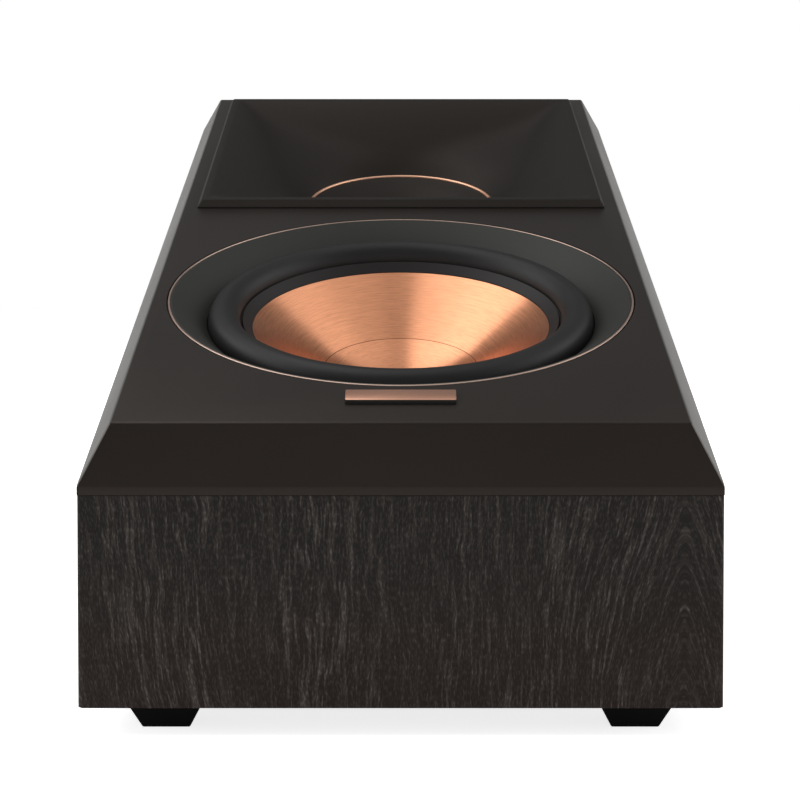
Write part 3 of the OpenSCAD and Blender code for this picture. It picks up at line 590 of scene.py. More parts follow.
def veneer_group() -> bpy.types.NodeTree:
    """Group with the grain of the dark veneer: warped lines, a cathedral figure, pores and a height for its bump.

    Returns:
        The group.
    """
    g, come, go = new_group(
        "veneer_grain",
        {"Vector": "NodeSocketVector", "Dark": "NodeSocketColor", "Light": "NodeSocketColor", "Warm": "NodeSocketColor",
         "Peak": "NodeSocketFloat", "Lean": "NodeSocketFloat"},
        {"Color": "NodeSocketColor", "Height": "NodeSocketFloat", "Roughness": "NodeSocketFloat"},
    )
    parts = g.add("ShaderNodeSeparateXYZ", {0: come.outputs["Vector"]}).outputs
    along = g.math("ADD", parts[0], parts[1])
    height = parts[2]
    vector = come.outputs["Vector"]
    sway = g.math("MULTIPLY", g.math("SUBTRACT", g.noise(vector, 14.0, 1.0), 0.5), 0.012)
    ripple = g.math("MULTIPLY", g.math("SUBTRACT", g.noise(vector, 90.0, 1.0), 0.5), 0.0018)
    away = g.math("SUBTRACT", along, come.outputs["Peak"])
    squared = g.math("MULTIPLY", away, away)
    rounded = g.math("SQRT", g.math("ADD", squared, 1.5e-6))
    near = g.math("EXPONENT", g.math("MULTIPLY", squared, -1300.0))
    arch = g.math("MULTIPLY", g.math("MULTIPLY", g.span(height, 0.0, 0.085, -0.03, 0.03), 0.36), near)
    lean = g.math("MULTIPLY", g.math("MULTIPLY", height, come.outputs["Lean"]), g.span(away, -0.07, -0.15))
    course = g.math("ADD", g.math("ADD", rounded, arch), g.math("ADD", lean, g.math("ADD", sway, ripple)))

    def streaks(across: float, lengthwise: float, low: float, high: float, layer: float) -> Socket:
        """Pale streaks along the course.

        Args:
            across: Cells per metre across the grain.
            lengthwise: Cells per metre along it.
            low: Noise value at which a streak begins.
            high: Noise value at which it is full.
            layer: Place in the noise, which tells the layers apart.

        Returns:
            How strong the streaks are.
        """
        place = g.add("ShaderNodeCombineXYZ", {
            0: g.math("MULTIPLY", course, across), 1: g.math("MULTIPLY", height, lengthwise), 2: layer,
        }).outputs[0]
        return g.span(g.noise(place, 1.0, 1.0), low, high)

    broad = streaks(90.0, 6.0, 0.3, 0.7, 0.3)
    long_lines = streaks(850.0, 45.0, 0.5, 0.72, 3.1)
    pores = streaks(1500.0, 140.0, 0.5, 0.74, 7.7)
    flecks = streaks(2600.0, 700.0, 0.45, 0.75, 12.9)
    weight = g.math("ADD", 0.35, g.math("MULTIPLY", broad, 0.65))
    broken = g.math("MULTIPLY", weight, g.math("ADD", 0.6, g.math("MULTIPLY", flecks, 0.9)))
    amount = g.math("ADD", g.math("MULTIPLY", long_lines, 0.42), g.math("MULTIPLY", pores, 0.5))
    amount = g.math("ADD", g.math("MULTIPLY", amount, broken), g.math("MULTIPLY", flecks, 0.2), clamp=True)
    ground = g.mix(g.span(height, 0.055, 0.012), come.outputs["Dark"], come.outputs["Warm"])
    links = g.tree.links
    links.new(g.mix(amount, ground, come.outputs["Light"]), go.inputs["Color"])
    links.new(g.math("MULTIPLY", amount, -1.0), go.inputs["Height"])
    links.new(g.math("ADD", 0.5, g.math("MULTIPLY", amount, 0.2)), go.inputs["Roughness"])
    return g.tree


def spun_group() -> bpy.types.NodeTree:
    """Group with the turning marks of spun metal about a driver's axis.

    Returns:
        The group.
    """
    g, come, go = new_group(
        "spun_marks",
        {"Run": "NodeSocketVector", "Base": "NodeSocketColor", "Deep": "NodeSocketColor", "Lines": "NodeSocketFloat"},
        {"Color": "NodeSocketColor", "Height": "NodeSocketFloat", "Roughness": "NodeSocketFloat"},
    )
    parts = g.add("ShaderNodeSeparateXYZ", {0: come.outputs["Run"]}).outputs
    turn = g.math("MULTIPLY", parts[1], 6.2832)
    ring = g.add("ShaderNodeCombineXYZ", {
        0: g.math("MULTIPLY", parts[0], come.outputs["Lines"]),
        1: g.math("MULTIPLY", g.math("COSINE", turn), 7.0),
        2: g.math("MULTIPLY", g.math("SINE", turn), 7.0),
    }).outputs[0]
    marks = g.noise(ring, 1.0, 2.0, 0.6)
    coarse = g.noise(g.scaled(ring, 0.45, 0.14, 0.14), 1.0, 2.0)
    share = g.math("ADD", g.math("MULTIPLY", g.span(marks, 0.3, 0.62), 0.65), g.math("MULTIPLY", g.span(coarse, 0.3, 0.7), 0.35))
    links = g.tree.links
    links.new(g.mix(share, come.outputs["Deep"], come.outputs["Base"]), go.inputs["Color"])
    links.new(marks, go.inputs["Height"])
    links.new(g.math("ADD", 0.24, g.math("MULTIPLY", coarse, 0.14)), go.inputs["Roughness"])
    return g.tree


@dataclass(frozen=True)
class Finish:
    """A plain finish with a little variation.

    Attributes:
        name: Name of the material and of the record's slot.
        colour: Colour as a screen shows it, 0 to 255.
        roughness: Middle roughness.
        metallic: 1 for a metal.
        tone: Share by which the colour varies.
        spread: Range of the roughness.
        grain: Cells of the fine grain per metre.
        bump: Depth of the fine grain in metres.
        coat: Weight of a clear coat.
        sheen: Weight of a soft sheen.
        specular: Level of the dielectric highlight.
        tint: Colour of that highlight, as a share of white.
    """

    name: str
    colour: tuple[float, float, float]
    roughness: float = 0.5
    metallic: float = 0.0
    tone: float = 0.12
    spread: float = 0.16
    grain: float = 900.0
    bump: float = 0.00004
    coat: float = 0.0
    sheen: float = 0.0
    specular: float = 0.5
    tint: tuple[float, float, float] = (1.0, 1.0, 1.0)


WARM = (1.0, 0.86, 0.76)
RUST = (1.0, 0.8, 0.7)
MOSS = (0.96, 0.96, 0.9)

FINISHES = (
    Finish("baffle_lacquer", (25, 22, 20), 0.38, grain=2600, bump=0.00003, tone=0.1, specular=0.3, tint=RUST),
    # Lighter copy of the baffle lacquer for the side bevels: painted light, where the side lamps fall on the same black
    # lacquer.
    Finish("bevel_lacquer", (84, 83, 81), 0.38, grain=2600, bump=0.00003, tone=0.1, specular=0.35, tint=WARM),
    Finish("raw_board", (38, 34, 31), 0.7, grain=700, bump=0.0001, tone=0.2),
    Finish("wool", (205, 203, 196), 0.95, grain=500, bump=0.0006, sheen=0.4),
    Finish("foot_rubber", (9, 9, 8), 0.7, grain=1500, bump=0.00005, specular=0.08),
    Finish("gasket_foam", (24, 24, 24), 0.9, grain=1800, bump=0.0001),
    Finish("surround_rubber", (19, 18, 18), 0.5, grain=1400, bump=0.00003, specular=0.3),
    # Darker, warmer copy of the rubber for the flat band between roll and cone: painted shade in the groove.
    Finish("surround_band", (19, 15, 14), 0.5, grain=1400, bump=0.00003, specular=0.3),
    Finish("black_screw", (34, 34, 34), 0.38, 0.7, grain=2500),
    Finish("basket_metal", (70, 70, 72), 0.5, 0.8),
    Finish("motor_steel", (150, 150, 152), 0.35, 1.0),
    Finish("ferrite", (52, 52, 54), 0.7),
    Finish("bezel_plastic", (32, 32, 30), 0.55, specular=0.36, tint=MOSS, grain=3000, bump=0.000015),
    Finish("horn_plastic", (18, 16, 15), 0.55, specular=0.24, tint=WARM, grain=3000, bump=0.000015),
    Finish("chassis_plastic", (34, 34, 35), 0.5),
    Finish("accent_copper", (226, 172, 146), 0.3, 1.0, grain=2200, bump=0.00001, tone=0.08),
    Finish("rose_ring", (200, 174, 160), 0.32, 1.0, grain=2200, bump=0.00001, tone=0.08),
    Finish("throat_rose", (232, 182, 152), 0.42, 1.0, grain=2200, bump=0.00001, tone=0.08),
    # Lighter copy of the horn plastic for the flange's outer bevel: painted light on the edge.
    Finish("horn_edge", (26, 25, 23), 0.5, specular=0.32, grain=3000, bump=0.000015, tint=WARM),
    Finish("glue_seam", (128, 78, 52), 0.5, 0.8, bump=0.00001),
    Finish("dome_metal", (190, 190, 192), 0.25, 1.0, bump=0.00001),
    Finish("edge_cloth", (42, 42, 44), 0.85, grain=2600),
    Finish("spider_cloth", (196, 172, 110), 0.85, grain=2000),
    Finish("former_film", (190, 150, 90), 0.4),
    Finish("winding", (190, 110, 66), 0.35, 0.9, grain=2400),
    Finish("terminal_board", (120, 84, 52), 0.6),
    Finish("nylon", (215, 214, 208), 0.45),
    Finish("circuit_board", (24, 74, 50), 0.42, coat=0.3),
    Finish("capacitor_wrap", (196, 180, 84), 0.35, coat=0.3),
    Finish("ceramic", (228, 226, 220), 0.7),
    Finish("cup_plastic", (30, 30, 31), 0.42, grain=2200, bump=0.00003),
    Finish("plated_brass", (214, 178, 100), 0.24, 1.0, bump=0.00001, tone=0.06),
    Finish("red_cap", (168, 20, 22), 0.34, coat=0.25, bump=0.00002),
    Finish("black_cap", (26, 26, 27), 0.34, coat=0.25, bump=0.00002),
    Finish("switch_steel", (168, 168, 170), 0.36, 1.0),
    Finish("switch_nub", (226, 225, 220), 0.42),
    Finish("wire_insulation", (150, 26, 26), 0.4),
)


class Palette:
    """All materials of the part, by the record's slots."""

    def __init__(self) -> None:
        """Build the shared groups and every material."""
        self.variation = surface_group()
        self.made: dict[str, bpy.types.Material] = {finish.name: self.plain(finish) for finish in FINISHES}
        self.made["veneer"] = self.veneer()
        self.made["spun_copper"] = self.spun()

    def __getitem__(self, name: str) -> bpy.types.Material:
        """Material of a slot.

        Args:
            name: Name of the slot.

        Returns:
            The material.
        """
        return self.made[name]

    def start(self, name: str) -> tuple[Graph, bpy.types.Node]:
        """Start a material.

        Args:
            name: Name of the material.

        Returns:
            Its graph and its Principled node.
        """
        material = bpy.data.materials.new(name)
        material.use_nodes = True
        self.made_last = material
        return Graph(material.node_tree), material.node_tree.nodes["Principled BSDF"]

    def group(self, graph: Graph, tree: bpy.types.NodeTree, inputs: dict) -> bpy.types.Node:
        """Place a shared group in a material.

        Args:
            graph: The material's graph.
            tree: The group.
            inputs: Value or socket for each input.

        Returns:
            The group's node.
        """
        node = graph.add("ShaderNodeGroup", node_tree=tree)
        for label, value in inputs.items():
            if isinstance(value, Socket):
                graph.tree.links.new(value, node.inputs[label])
            else:
                node.inputs[label].default_value = value
        return node

    def join(self, graph: Graph, shader: bpy.types.Node, source: bpy.types.Node, depth: float) -> None:
        """Feed a group's colour, roughness and height to a shader.

        Args:
            graph: The material's graph.
            shader: Its Principled node.
            source: The group's node.
            depth: Depth of the bump in metres.
        """
        links = graph.tree.links
        links.new(source.outputs["Color"], shader.inputs["Base Color"])
        links.new(source.outputs["Roughness"], shader.inputs["Roughness"])
        bump = graph.add("ShaderNodeBump", {"Strength": 0.6, "Distance": depth, "Height": source.outputs["Height"]})
        links.new(bump.outputs[0], shader.inputs["Normal"])

    def plain(self, finish: Finish) -> bpy.types.Material:
        """Material of a plain finish.

        Args:
            finish: The finish.

        Returns:
            The material.
        """
        graph, shader = self.start(finish.name)
        where = graph.add("ShaderNodeTexCoord").outputs["Object"]
        source = self.group(graph, self.variation, {
            "Vector": where, "Base": srgb(*finish.colour), "Tone": finish.tone, "Grain": finish.grain,
            "Roughness": finish.roughness, "Spread": finish.spread,
        })
        shader.inputs["Metallic"].default_value = finish.metallic
        shader.inputs["Coat Weight"].default_value = finish.coat
        shader.inputs["Sheen Weight"].default_value = finish.sheen
        shader.inputs["Specular IOR Level"].default_value = finish.specular
        shader.inputs["Specular Tint"].default_value = (*finish.tint, 1.0)
        self.join(graph, shader, source, finish.bump)
        return self.made_last

    def veneer(self) -> bpy.types.Material:
        """Dark veneer of the cabinet's walls.

        Returns:
            The material.
        """
        graph, shader = self.start("veneer")
        where = graph.add("ShaderNodeTexCoord").outputs["Object"]
        source = self.group(graph, veneer_group(), {
            "Vector": where, "Dark": srgb(31, 28, 26), "Light": srgb(100, 93, 88), "Warm": srgb(36, 27, 24),
            "Peak": 0.0768 - 0.16375, "Lean": -0.12,
        })
        shader.inputs["Specular IOR Level"].default_value = 0.12
        self.join(graph, shader, source, 0.0001)
        return self.made_last

    def spun(self) -> bpy.types.Material:
        """Spun copper of the woofer's cone and cap.

        Returns:
            The material.
        """
        graph, shader = self.start("spun_copper")
        run = graph.add("ShaderNodeUVMap", uv_map="turning").outputs[0]
        source = self.group(graph, spun_group(), {
            "Run": run, "Base": srgb(238, 166, 126), "Deep": srgb(212, 145, 108), "Lines": 400.0,
        })
        tangent = graph.add("ShaderNodeTangent", direction_type="UV_MAP", uv_map="turning")
        graph.tree.links.new(tangent.outputs[0], shader.inputs["Tangent"])
        shader.inputs["Metallic"].default_value = 1.0
        shader.inputs["Anisotropic"].default_value = 0.8
        self.join(graph, shader, source, 0.00001)
        return self.made_last


@dataclass
class Workshop:
    """What every sub-assembly needs to finish a piece.

    Attributes:
        palette: The materials.
        pieces: Pieces made so far.
    """

    palette: Palette
    pieces: list[bpy.types.Object] = field(default_factory=list)

    def finish(
        self, mesh: bpy.types.Mesh, slots: Sequence[str], body: Body | None = Body.CABINET, nodes: Sequence[str] = (),
        slot: str | None = None,
    ) -> bpy.types.Object:
        """Give a mesh its object, materials, body and the CAD nodes that it stands for.

        Args:
            mesh: Mesh in the row frame.
            slots: Its materials, the first of which is its slot.
            body: Body that it rides on, or None for a piece that rides on no body.
            nodes: CAD nodes that it replaces.
            slot: Slot of the record, where it isn't its first material's; not used.

        Returns:
            The piece.
        """
        mesh.materials.clear()
        for name in slots:
            mesh.materials.append(self.palette[name])
        piece = new_object(mesh.name, mesh)
        if body is not None:
            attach(piece, body.value)
        if nodes:
            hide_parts(*nodes)
        slot or slots[0]
        self.pieces.append(piece)
        return piece


@dataclass
class Cabinet:
    """Veneered walls, black baffle with its badge bar, and the four feet.

    Attributes:
        shop: Where pieces are finished.
        corner: Radius of the upright front edges.
        ring_radius: Radius of the woofer's opening.
        horn_half: Half width and half length of the horn's opening.
        woofer_at: Distance of the woofer's axis up the slope.
        horn_at: Distance of the horn's axis up the slope.
    """

    shop: Workshop
    corner: float = 1.0
    ring_radius: float = 74.5
    horn_half: tuple[float, float] = (69.5, 67.4)
    woofer_at: float = 107.973
    horn_at: float = 266.544

    def build(self) -> None:
        """Build every piece of the cabinet."""
        self.walls()
        self.baffle()
        self.badge()
        self.feet()

    def walls(self) -> None:
        """Front and side walls in one U, with rounded front corners and a mitre against the rear panel."""
        w, d, t, r = SIZES.width / 2, SIZES.depth, SIZES.wall, self.corner
        right = [*arc((w - r, r), r, -90, 0, 6), (w, d), (w - t, d - t), (w - t, t)]
        outline = right + [(-x, y) for x, y in reversed(right)]
        slope = math.tan(SIZES.slope)
        points, faces = prism(outline, 0.0, 1.0)
        work = bmesh.new()
        verts = [work.verts.new((x, y, z and SIZES.front_height + y * slope - 0.02)) for x, y, z in points]
        for face in faces:
            work.faces.new([verts[i] for i in face])
        outer = [e for e in work.edges if all(
            v.co.z == 0 and (abs(v.co.x) > w - 2 * r or v.co.y < 2 * r) for v in e.verts)]
        bmesh.ops.bevel(work, geom=outer, offset=0.5, segments=2, profile=0.5, affect="EDGES")
        mesh = placed("cabinet_walls", work, in_cabinet, 35)
        self.shop.finish(mesh, ["veneer"], nodes=["front_panel", "left_panel", "right_panel"])

    def baffle(self) -> None:
        """Thick black baffle with wide side bevels, small roundings and the openings of both drivers."""
        half, slab, edge = SIZES.width / 2, SIZES.slab, SIZES.slab_edge
        c = math.cos(SIZES.slope)
        work = bmesh.new()
        rise = SIZES.depth * math.tan(SIZES.slope)

        def face_corner(x: float, along: float) -> bmesh.types.BMVert:
            """Vertex on the flat face.

            Args:
                x: Millimetres to the right of the middle.
                along: Millimetres up the slope.

            Returns:
                The vertex, in the cabinet's frame.
            """
            s = math.sin(SIZES.slope)
            return work.verts.new((x, along * c - slab * s, SIZES.front_height + along * s + slab * c))

        rows = []
        for y, z, along in ((0.0, SIZES.front_height, SIZES.face_front), (SIZES.depth, SIZES.front_height + rise, SIZES.face_rear)):
            low = [work.verts.new((x, y, z)) for x in (-half, half)]
            brim = [work.verts.new((x, y, z + edge)) for x in (-half, half)]
            top = [face_corner(x, along) for x in (-half + SIZES.side_bevel, half - SIZES.side_bevel)]
            rows.append((low, brim, top))
        (low0, brim0, top0), (low1, brim1, top1) = rows
        for loop in (
            [low0[0], low0[1], brim0[1], brim0[0]], [brim0[0], brim0[1], top0[1], top0[0]],
            [top0[0], top0[1], top1[1], top1[0]], [brim1[1], brim1[0], top1[0], top1[1]],
            [low1[1], low1[0], brim1[0], brim1[1]], [low0[1], low0[0], low1[0], low1[1]],
            [low0[0], brim0[0], brim1[0], low1[0]], [low0[1], low1[1], brim1[1], brim0[1]],
            [brim0[0], top0[0], top1[0], brim1[0]], [brim0[1], brim1[1], top1[1], top0[1]],
        ):
            work.faces.new(loop)
        work.normal_update()
        lifted = [e for e in work.edges if all(v in (*brim0, *brim1, *top0, *top1) for v in e.verts)]
        under = [e for e in work.edges if all(v in (*low0, *low1) for v in e.verts)]
        bmesh.ops.bevel(work, geom=lifted, offset=0.7, segments=4, profile=0.5, affect="EDGES")
        under = [e for e in under if e.is_valid]
        bmesh.ops.bevel(work, geom=under, offset=0.35, segments=2, profile=0.5, affect="EDGES")
        mesh = placed("baffle_slab", work, in_cabinet, 35)
        woofer = Axis(on_slope(0, self.woofer_at, slab), OUT)
        horn = Axis(on_slope(0, self.horn_at, slab), OUT)
        hole = turned("hole", woofer, [(0, -40), (self.ring_radius, -40), (self.ring_radius, 5), (0, 5)], 256)
        x, y = self.horn_half
        box = bmesh.new()
        bmesh.ops.create_cube(box, size=2.0)
        for vert in box.verts:
            vert.co = Vector((vert.co.x * x, vert.co.y * y, -17.5 + vert.co.z * 22.5))
        pocket = placed("pocket", box, horn.place)
        cut = cut_away(mesh, [hole, pocket])
        smooth(cut, 35)
        piece = self.shop.finish(cut, ["baffle_lacquer", "bevel_lacquer"], nodes=["baffle"])
        # The side bevels take the lighter copy of the lacquer: painted light on their faces.
        for polygon in piece.data.polygons:
            polygon.material_index = 1 if abs(polygon.normal.x) > 0.3 and polygon.normal.dot(OUT) > 0.3 else 0

    def badge(self) -> None:
        """Plain bar with black sides and a satin copper face."""
        low = (-15.5, SIZES.face_front + 12.4, SIZES.slab - 0.3)
        high = (15.5, SIZES.face_front + 12.4 + 7.0, SIZES.slab + 1.3)
        mesh = placed("badge", rounded_box(low, high, 0.28), on_slope)
        piece = self.shop.finish(mesh, ["accent_copper", "bezel_plastic"], nodes=["badge_bar"])
        for polygon in piece.data.polygons:
            polygon.material_index = 0 if polygon.normal.dot(OUT) > 0.7 else 1

    def feet(self) -> None:
        """Tapered rubber feet with rounded edges and a hollow round their screws."""
        sole, top, tall = 13.1 / 2, 21.4 / 2, SIZES.foot
        for name, side, end in (("front_left", -1, 1), ("front_right", 1, 1), ("rear_left", -1, -1), ("rear_right", 1, -1)):
            x, y = side * 65.0, end * (18.2 - SIZES.depth / 2)
            work = rounded_box((-top, -top, 0), (top, top, tall), 0.5, 4)
            for vert in work.verts:
                taper = (sole + (top - sole) * vert.co.z / tall) / top
                vert.co.x *= taper
                vert.co.y *= taper
            mesh = placed(f"foot_{name}_rubber", work, lambda a, b, c, x=x, y=y: MM * Vector((x + a, y + b, c)), 50)
            well = turned("well", Axis(MM * Vector((x, y, 0.0)), Vector((0.0, 0.0, 1.0))), [(0, -1), (4.2, -1), (4.2, 4.02), (0, 4.02)], 48)
            cut = cut_away(mesh, [well])
            smooth(cut, 50)
            self.shop.finish(cut, ["foot_rubber"], nodes=[f"foot_{name}"])


@dataclass
class Woofer:
    """Woofer as seen from the front: bezel with its copper ring, rubber roll, spun cone and cap.

    Attributes:
        shop: Where pieces are finished.
        axis: The driver's axis.
        ring: Outer radius of the copper ring.
        dish: Inner radius of the bezel's dish.
        flange: Depth of the basket's flange.
        roll: Radius of the roll's crest.
        roll_half: Half the roll's width.
        crest: Radius of the visible roll's middle.
        crest_half: Half the visible roll's width.
        rubber: Thickness of the rubber.
        edge: Radius of the cone's edge.
        edge_depth: Depth of the cone's edge.
        neck: Radius of the cone's neck.
        neck_depth: Depth of the neck.
        cap: Radius of the cap.
        bowl: Radius of the cap's sphere.
        sectors: Number of pieces that the roll is made in.
    """

    shop: Workshop
    axis: Axis
    ring: float = 74.4
    dish: float = 63.4
    flange: float = 9.6
    roll: float = 56.0
    roll_half: float = 5.9
    crest: float = 56.6
    crest_half: float = 5.2
    rubber: float = 1.0
    edge: float = 47.6
    edge_depth: float = 10.5
    neck: float = 15.75
    neck_depth: float = 33.0
    cap: float = 25.0
    bowl: float = 50.0
    sectors: int = 24

    @property
    def rim(self) -> float:
        """Outer radius of the roll's inner foot."""
        return self.roll - self.roll_half + self.rubber

    def build(self) -> None:
        """Build every visible piece of the woofer."""
        self.bezel()
        self.copper_ring()
        self.surround()
        self.cone()
        self.dust_cap()

    def bezel(self) -> None:
        """Glossy black dish between the copper ring and the rubber roll."""
        inner = self.ring - 1.0
        lip = self.dish - 1.0
        dish = curve((inner - 0.6, 0.0), ((inner + lip) / 2 - 0.5, -3.6), (lip, -self.flange + 1.5), 28)
        profile = [
            (self.ring - 1.8, -self.flange), (self.ring, -self.flange), (self.ring, -2.0), (inner, -2.0),
            *arc((inner - 0.3, -0.3), 0.3, 0, 90, 4), *dish,
            *arc((lip, -self.flange + 1.25), 0.25, 90, 180, 4),
            (lip - 0.25, -self.flange + 0.5), (self.dish, -self.flange + 0.02), (self.dish + 1.8, -self.flange + 0.02), (inner - 1.8, -3.2), (self.ring - 1.8, -3.8),
        ]
        mesh = turned("bezel_dish", self.axis, profile, 320)
        self.shop.finish(mesh, ["bezel_plastic"], nodes=["woofer_bezel"])

    def copper_ring(self) -> None:
        """Thin copper ring round the bezel."""
        profile = [
            (self.ring - 1.0, -2.0), (self.ring, -2.0), (self.ring, -1.1), (self.ring - 0.36, -0.8),
            *arc((self.ring - 0.5, -0.08), 0.14, 0, 86, 3), *arc((self.ring - 0.85, -0.03), 0.15, 86, 180, 4),
        ]
        mesh = turned("copper_ring", self.axis, profile, 320)
        self.shop.finish(mesh, ["rose_ring"], nodes=["accent_ring"], slot="accent_copper")

    def surround(self) -> None:
        """Half roll of rubber, made in sectors round the axis."""
        base = self.rubber - self.flange
        outer, inner = self.roll + self.roll_half, self.crest - self.crest_half
        foot = self.dish - 0.2
        half, inside = self.crest_half, self.crest_half - 0.9
        roll = [(self.crest + half * c, base + 6.2 * h) for c, h in arc((0.0, 0.0), 1.0, 0, 176, 48)]
        hollow = [(self.crest + inside * c, base + 5.2 * h) for c, h in arc((0.0, 0.0), 1.0, 180, 0, 24)]
        profile = [
            (foot, -self.flange), (foot, base - 0.6), (self.crest + half + 0.3, base - 0.6), *roll,
            (inner - 0.35, base + 0.2), (inner - 0.75, base + 0.95), (self.edge + 0.3, -self.edge_depth + 0.35), *arc((self.edge + 0.2, -self.edge_depth + 0.15), 0.2, 60, 180, 3),
            (self.edge, -self.edge_depth), (self.rim, -self.edge_depth), (self.crest - inside, base - 0.5), *hollow,
            (outer - self.rubber, -self.flange),
        ]
        step = 360.0 / self.sectors
        for number in range(self.sectors):
            mesh = turned(f"roll_{number:02d}", self.axis, profile, 14, (number * step, (number + 1) * step))
            piece = self.shop.finish(mesh, ["surround_rubber", "surround_band"], None, ["woofer_surround"])
            # Faces inside the crest take the darker copy of the rubber: painted shade in the groove by the cone.
            for polygon in mesh.polygons:
                away = polygon.center - self.axis.centre
                across = (away - away.dot(self.axis.out) * self.axis.out).length / MM
                polygon.material_index = 1 if across < inner + 0.1 else 0
            middle_angle = math.radians((number + 0.5) * step)
            start, end = (
                self.axis.place(r * math.cos(middle_angle), r * math.sin(middle_angle), -self.flange)
                for r in (outer - self.rubber - 0.7, self.rim + 0.1)
            )
            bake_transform(piece)
            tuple(start)
            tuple(end)

    def cone(self) -> None:
        """Spun copper cone with a narrow flat rim."""
        edge = -self.edge_depth - 0.05
        wall = 0.7
        line = [(self.neck + (self.edge - self.neck) * i / 40, -self.neck_depth + (edge + self.neck_depth) * i / 40) for i in range(40, -1, -1)]
        profile = [
            (self.rim, edge), (self.edge + 0.02, edge), *line, (self.neck, -self.neck_depth - 2.0),
            (self.neck + wall, -self.neck_depth - 2.0), (self.neck + wall, -self.neck_depth - wall / 2),
            (self.edge + wall / 2, edge - wall), (self.rim, edge - wall),
        ]
        mesh = turned("spun_cone", self.axis, profile, 320)
        self.shop.finish(mesh, ["spun_copper"], Body.CONE, ["woofer_cone"])

    def dust_cap(self) -> None:
        """Shallow spun bowl in the middle of the cone, with a rounded edge."""
        slope = (self.neck_depth - self.edge_depth) / (self.edge - self.neck)
        edge = -(self.edge_depth + (self.edge - self.cap) * slope) + 0.45
        middle_z = edge + math.sqrt(self.bowl**2 - self.cap**2)
        reach = math.asin(self.cap / self.bowl)
        sides = [reach * (1 - i / 32) for i in range(33)]
        upper = [(self.bowl * math.sin(a), middle_z - self.bowl * math.cos(a)) for a in sides]
        lower = [(r, z - 0.5) for r, z in reversed(upper)]
        mesh = turned("spun_cap", self.axis, [*upper, *lower], 320)
        self.shop.finish(mesh, ["spun_copper"], Body.CONE, ["dust_cap"])
        bead = [(self.cap + 0.02, edge - 0.5), (self.cap + 0.02, edge + 0.02), *arc((self.cap + 0.12, edge - 0.05), 0.18, 60, -20, 4), (self.cap + 0.6, edge - 0.25)]
        self.shop.finish(turned("cap_bead", self.axis, bead, 320), ["glue_seam"], Body.CONE, slot="spun_copper")


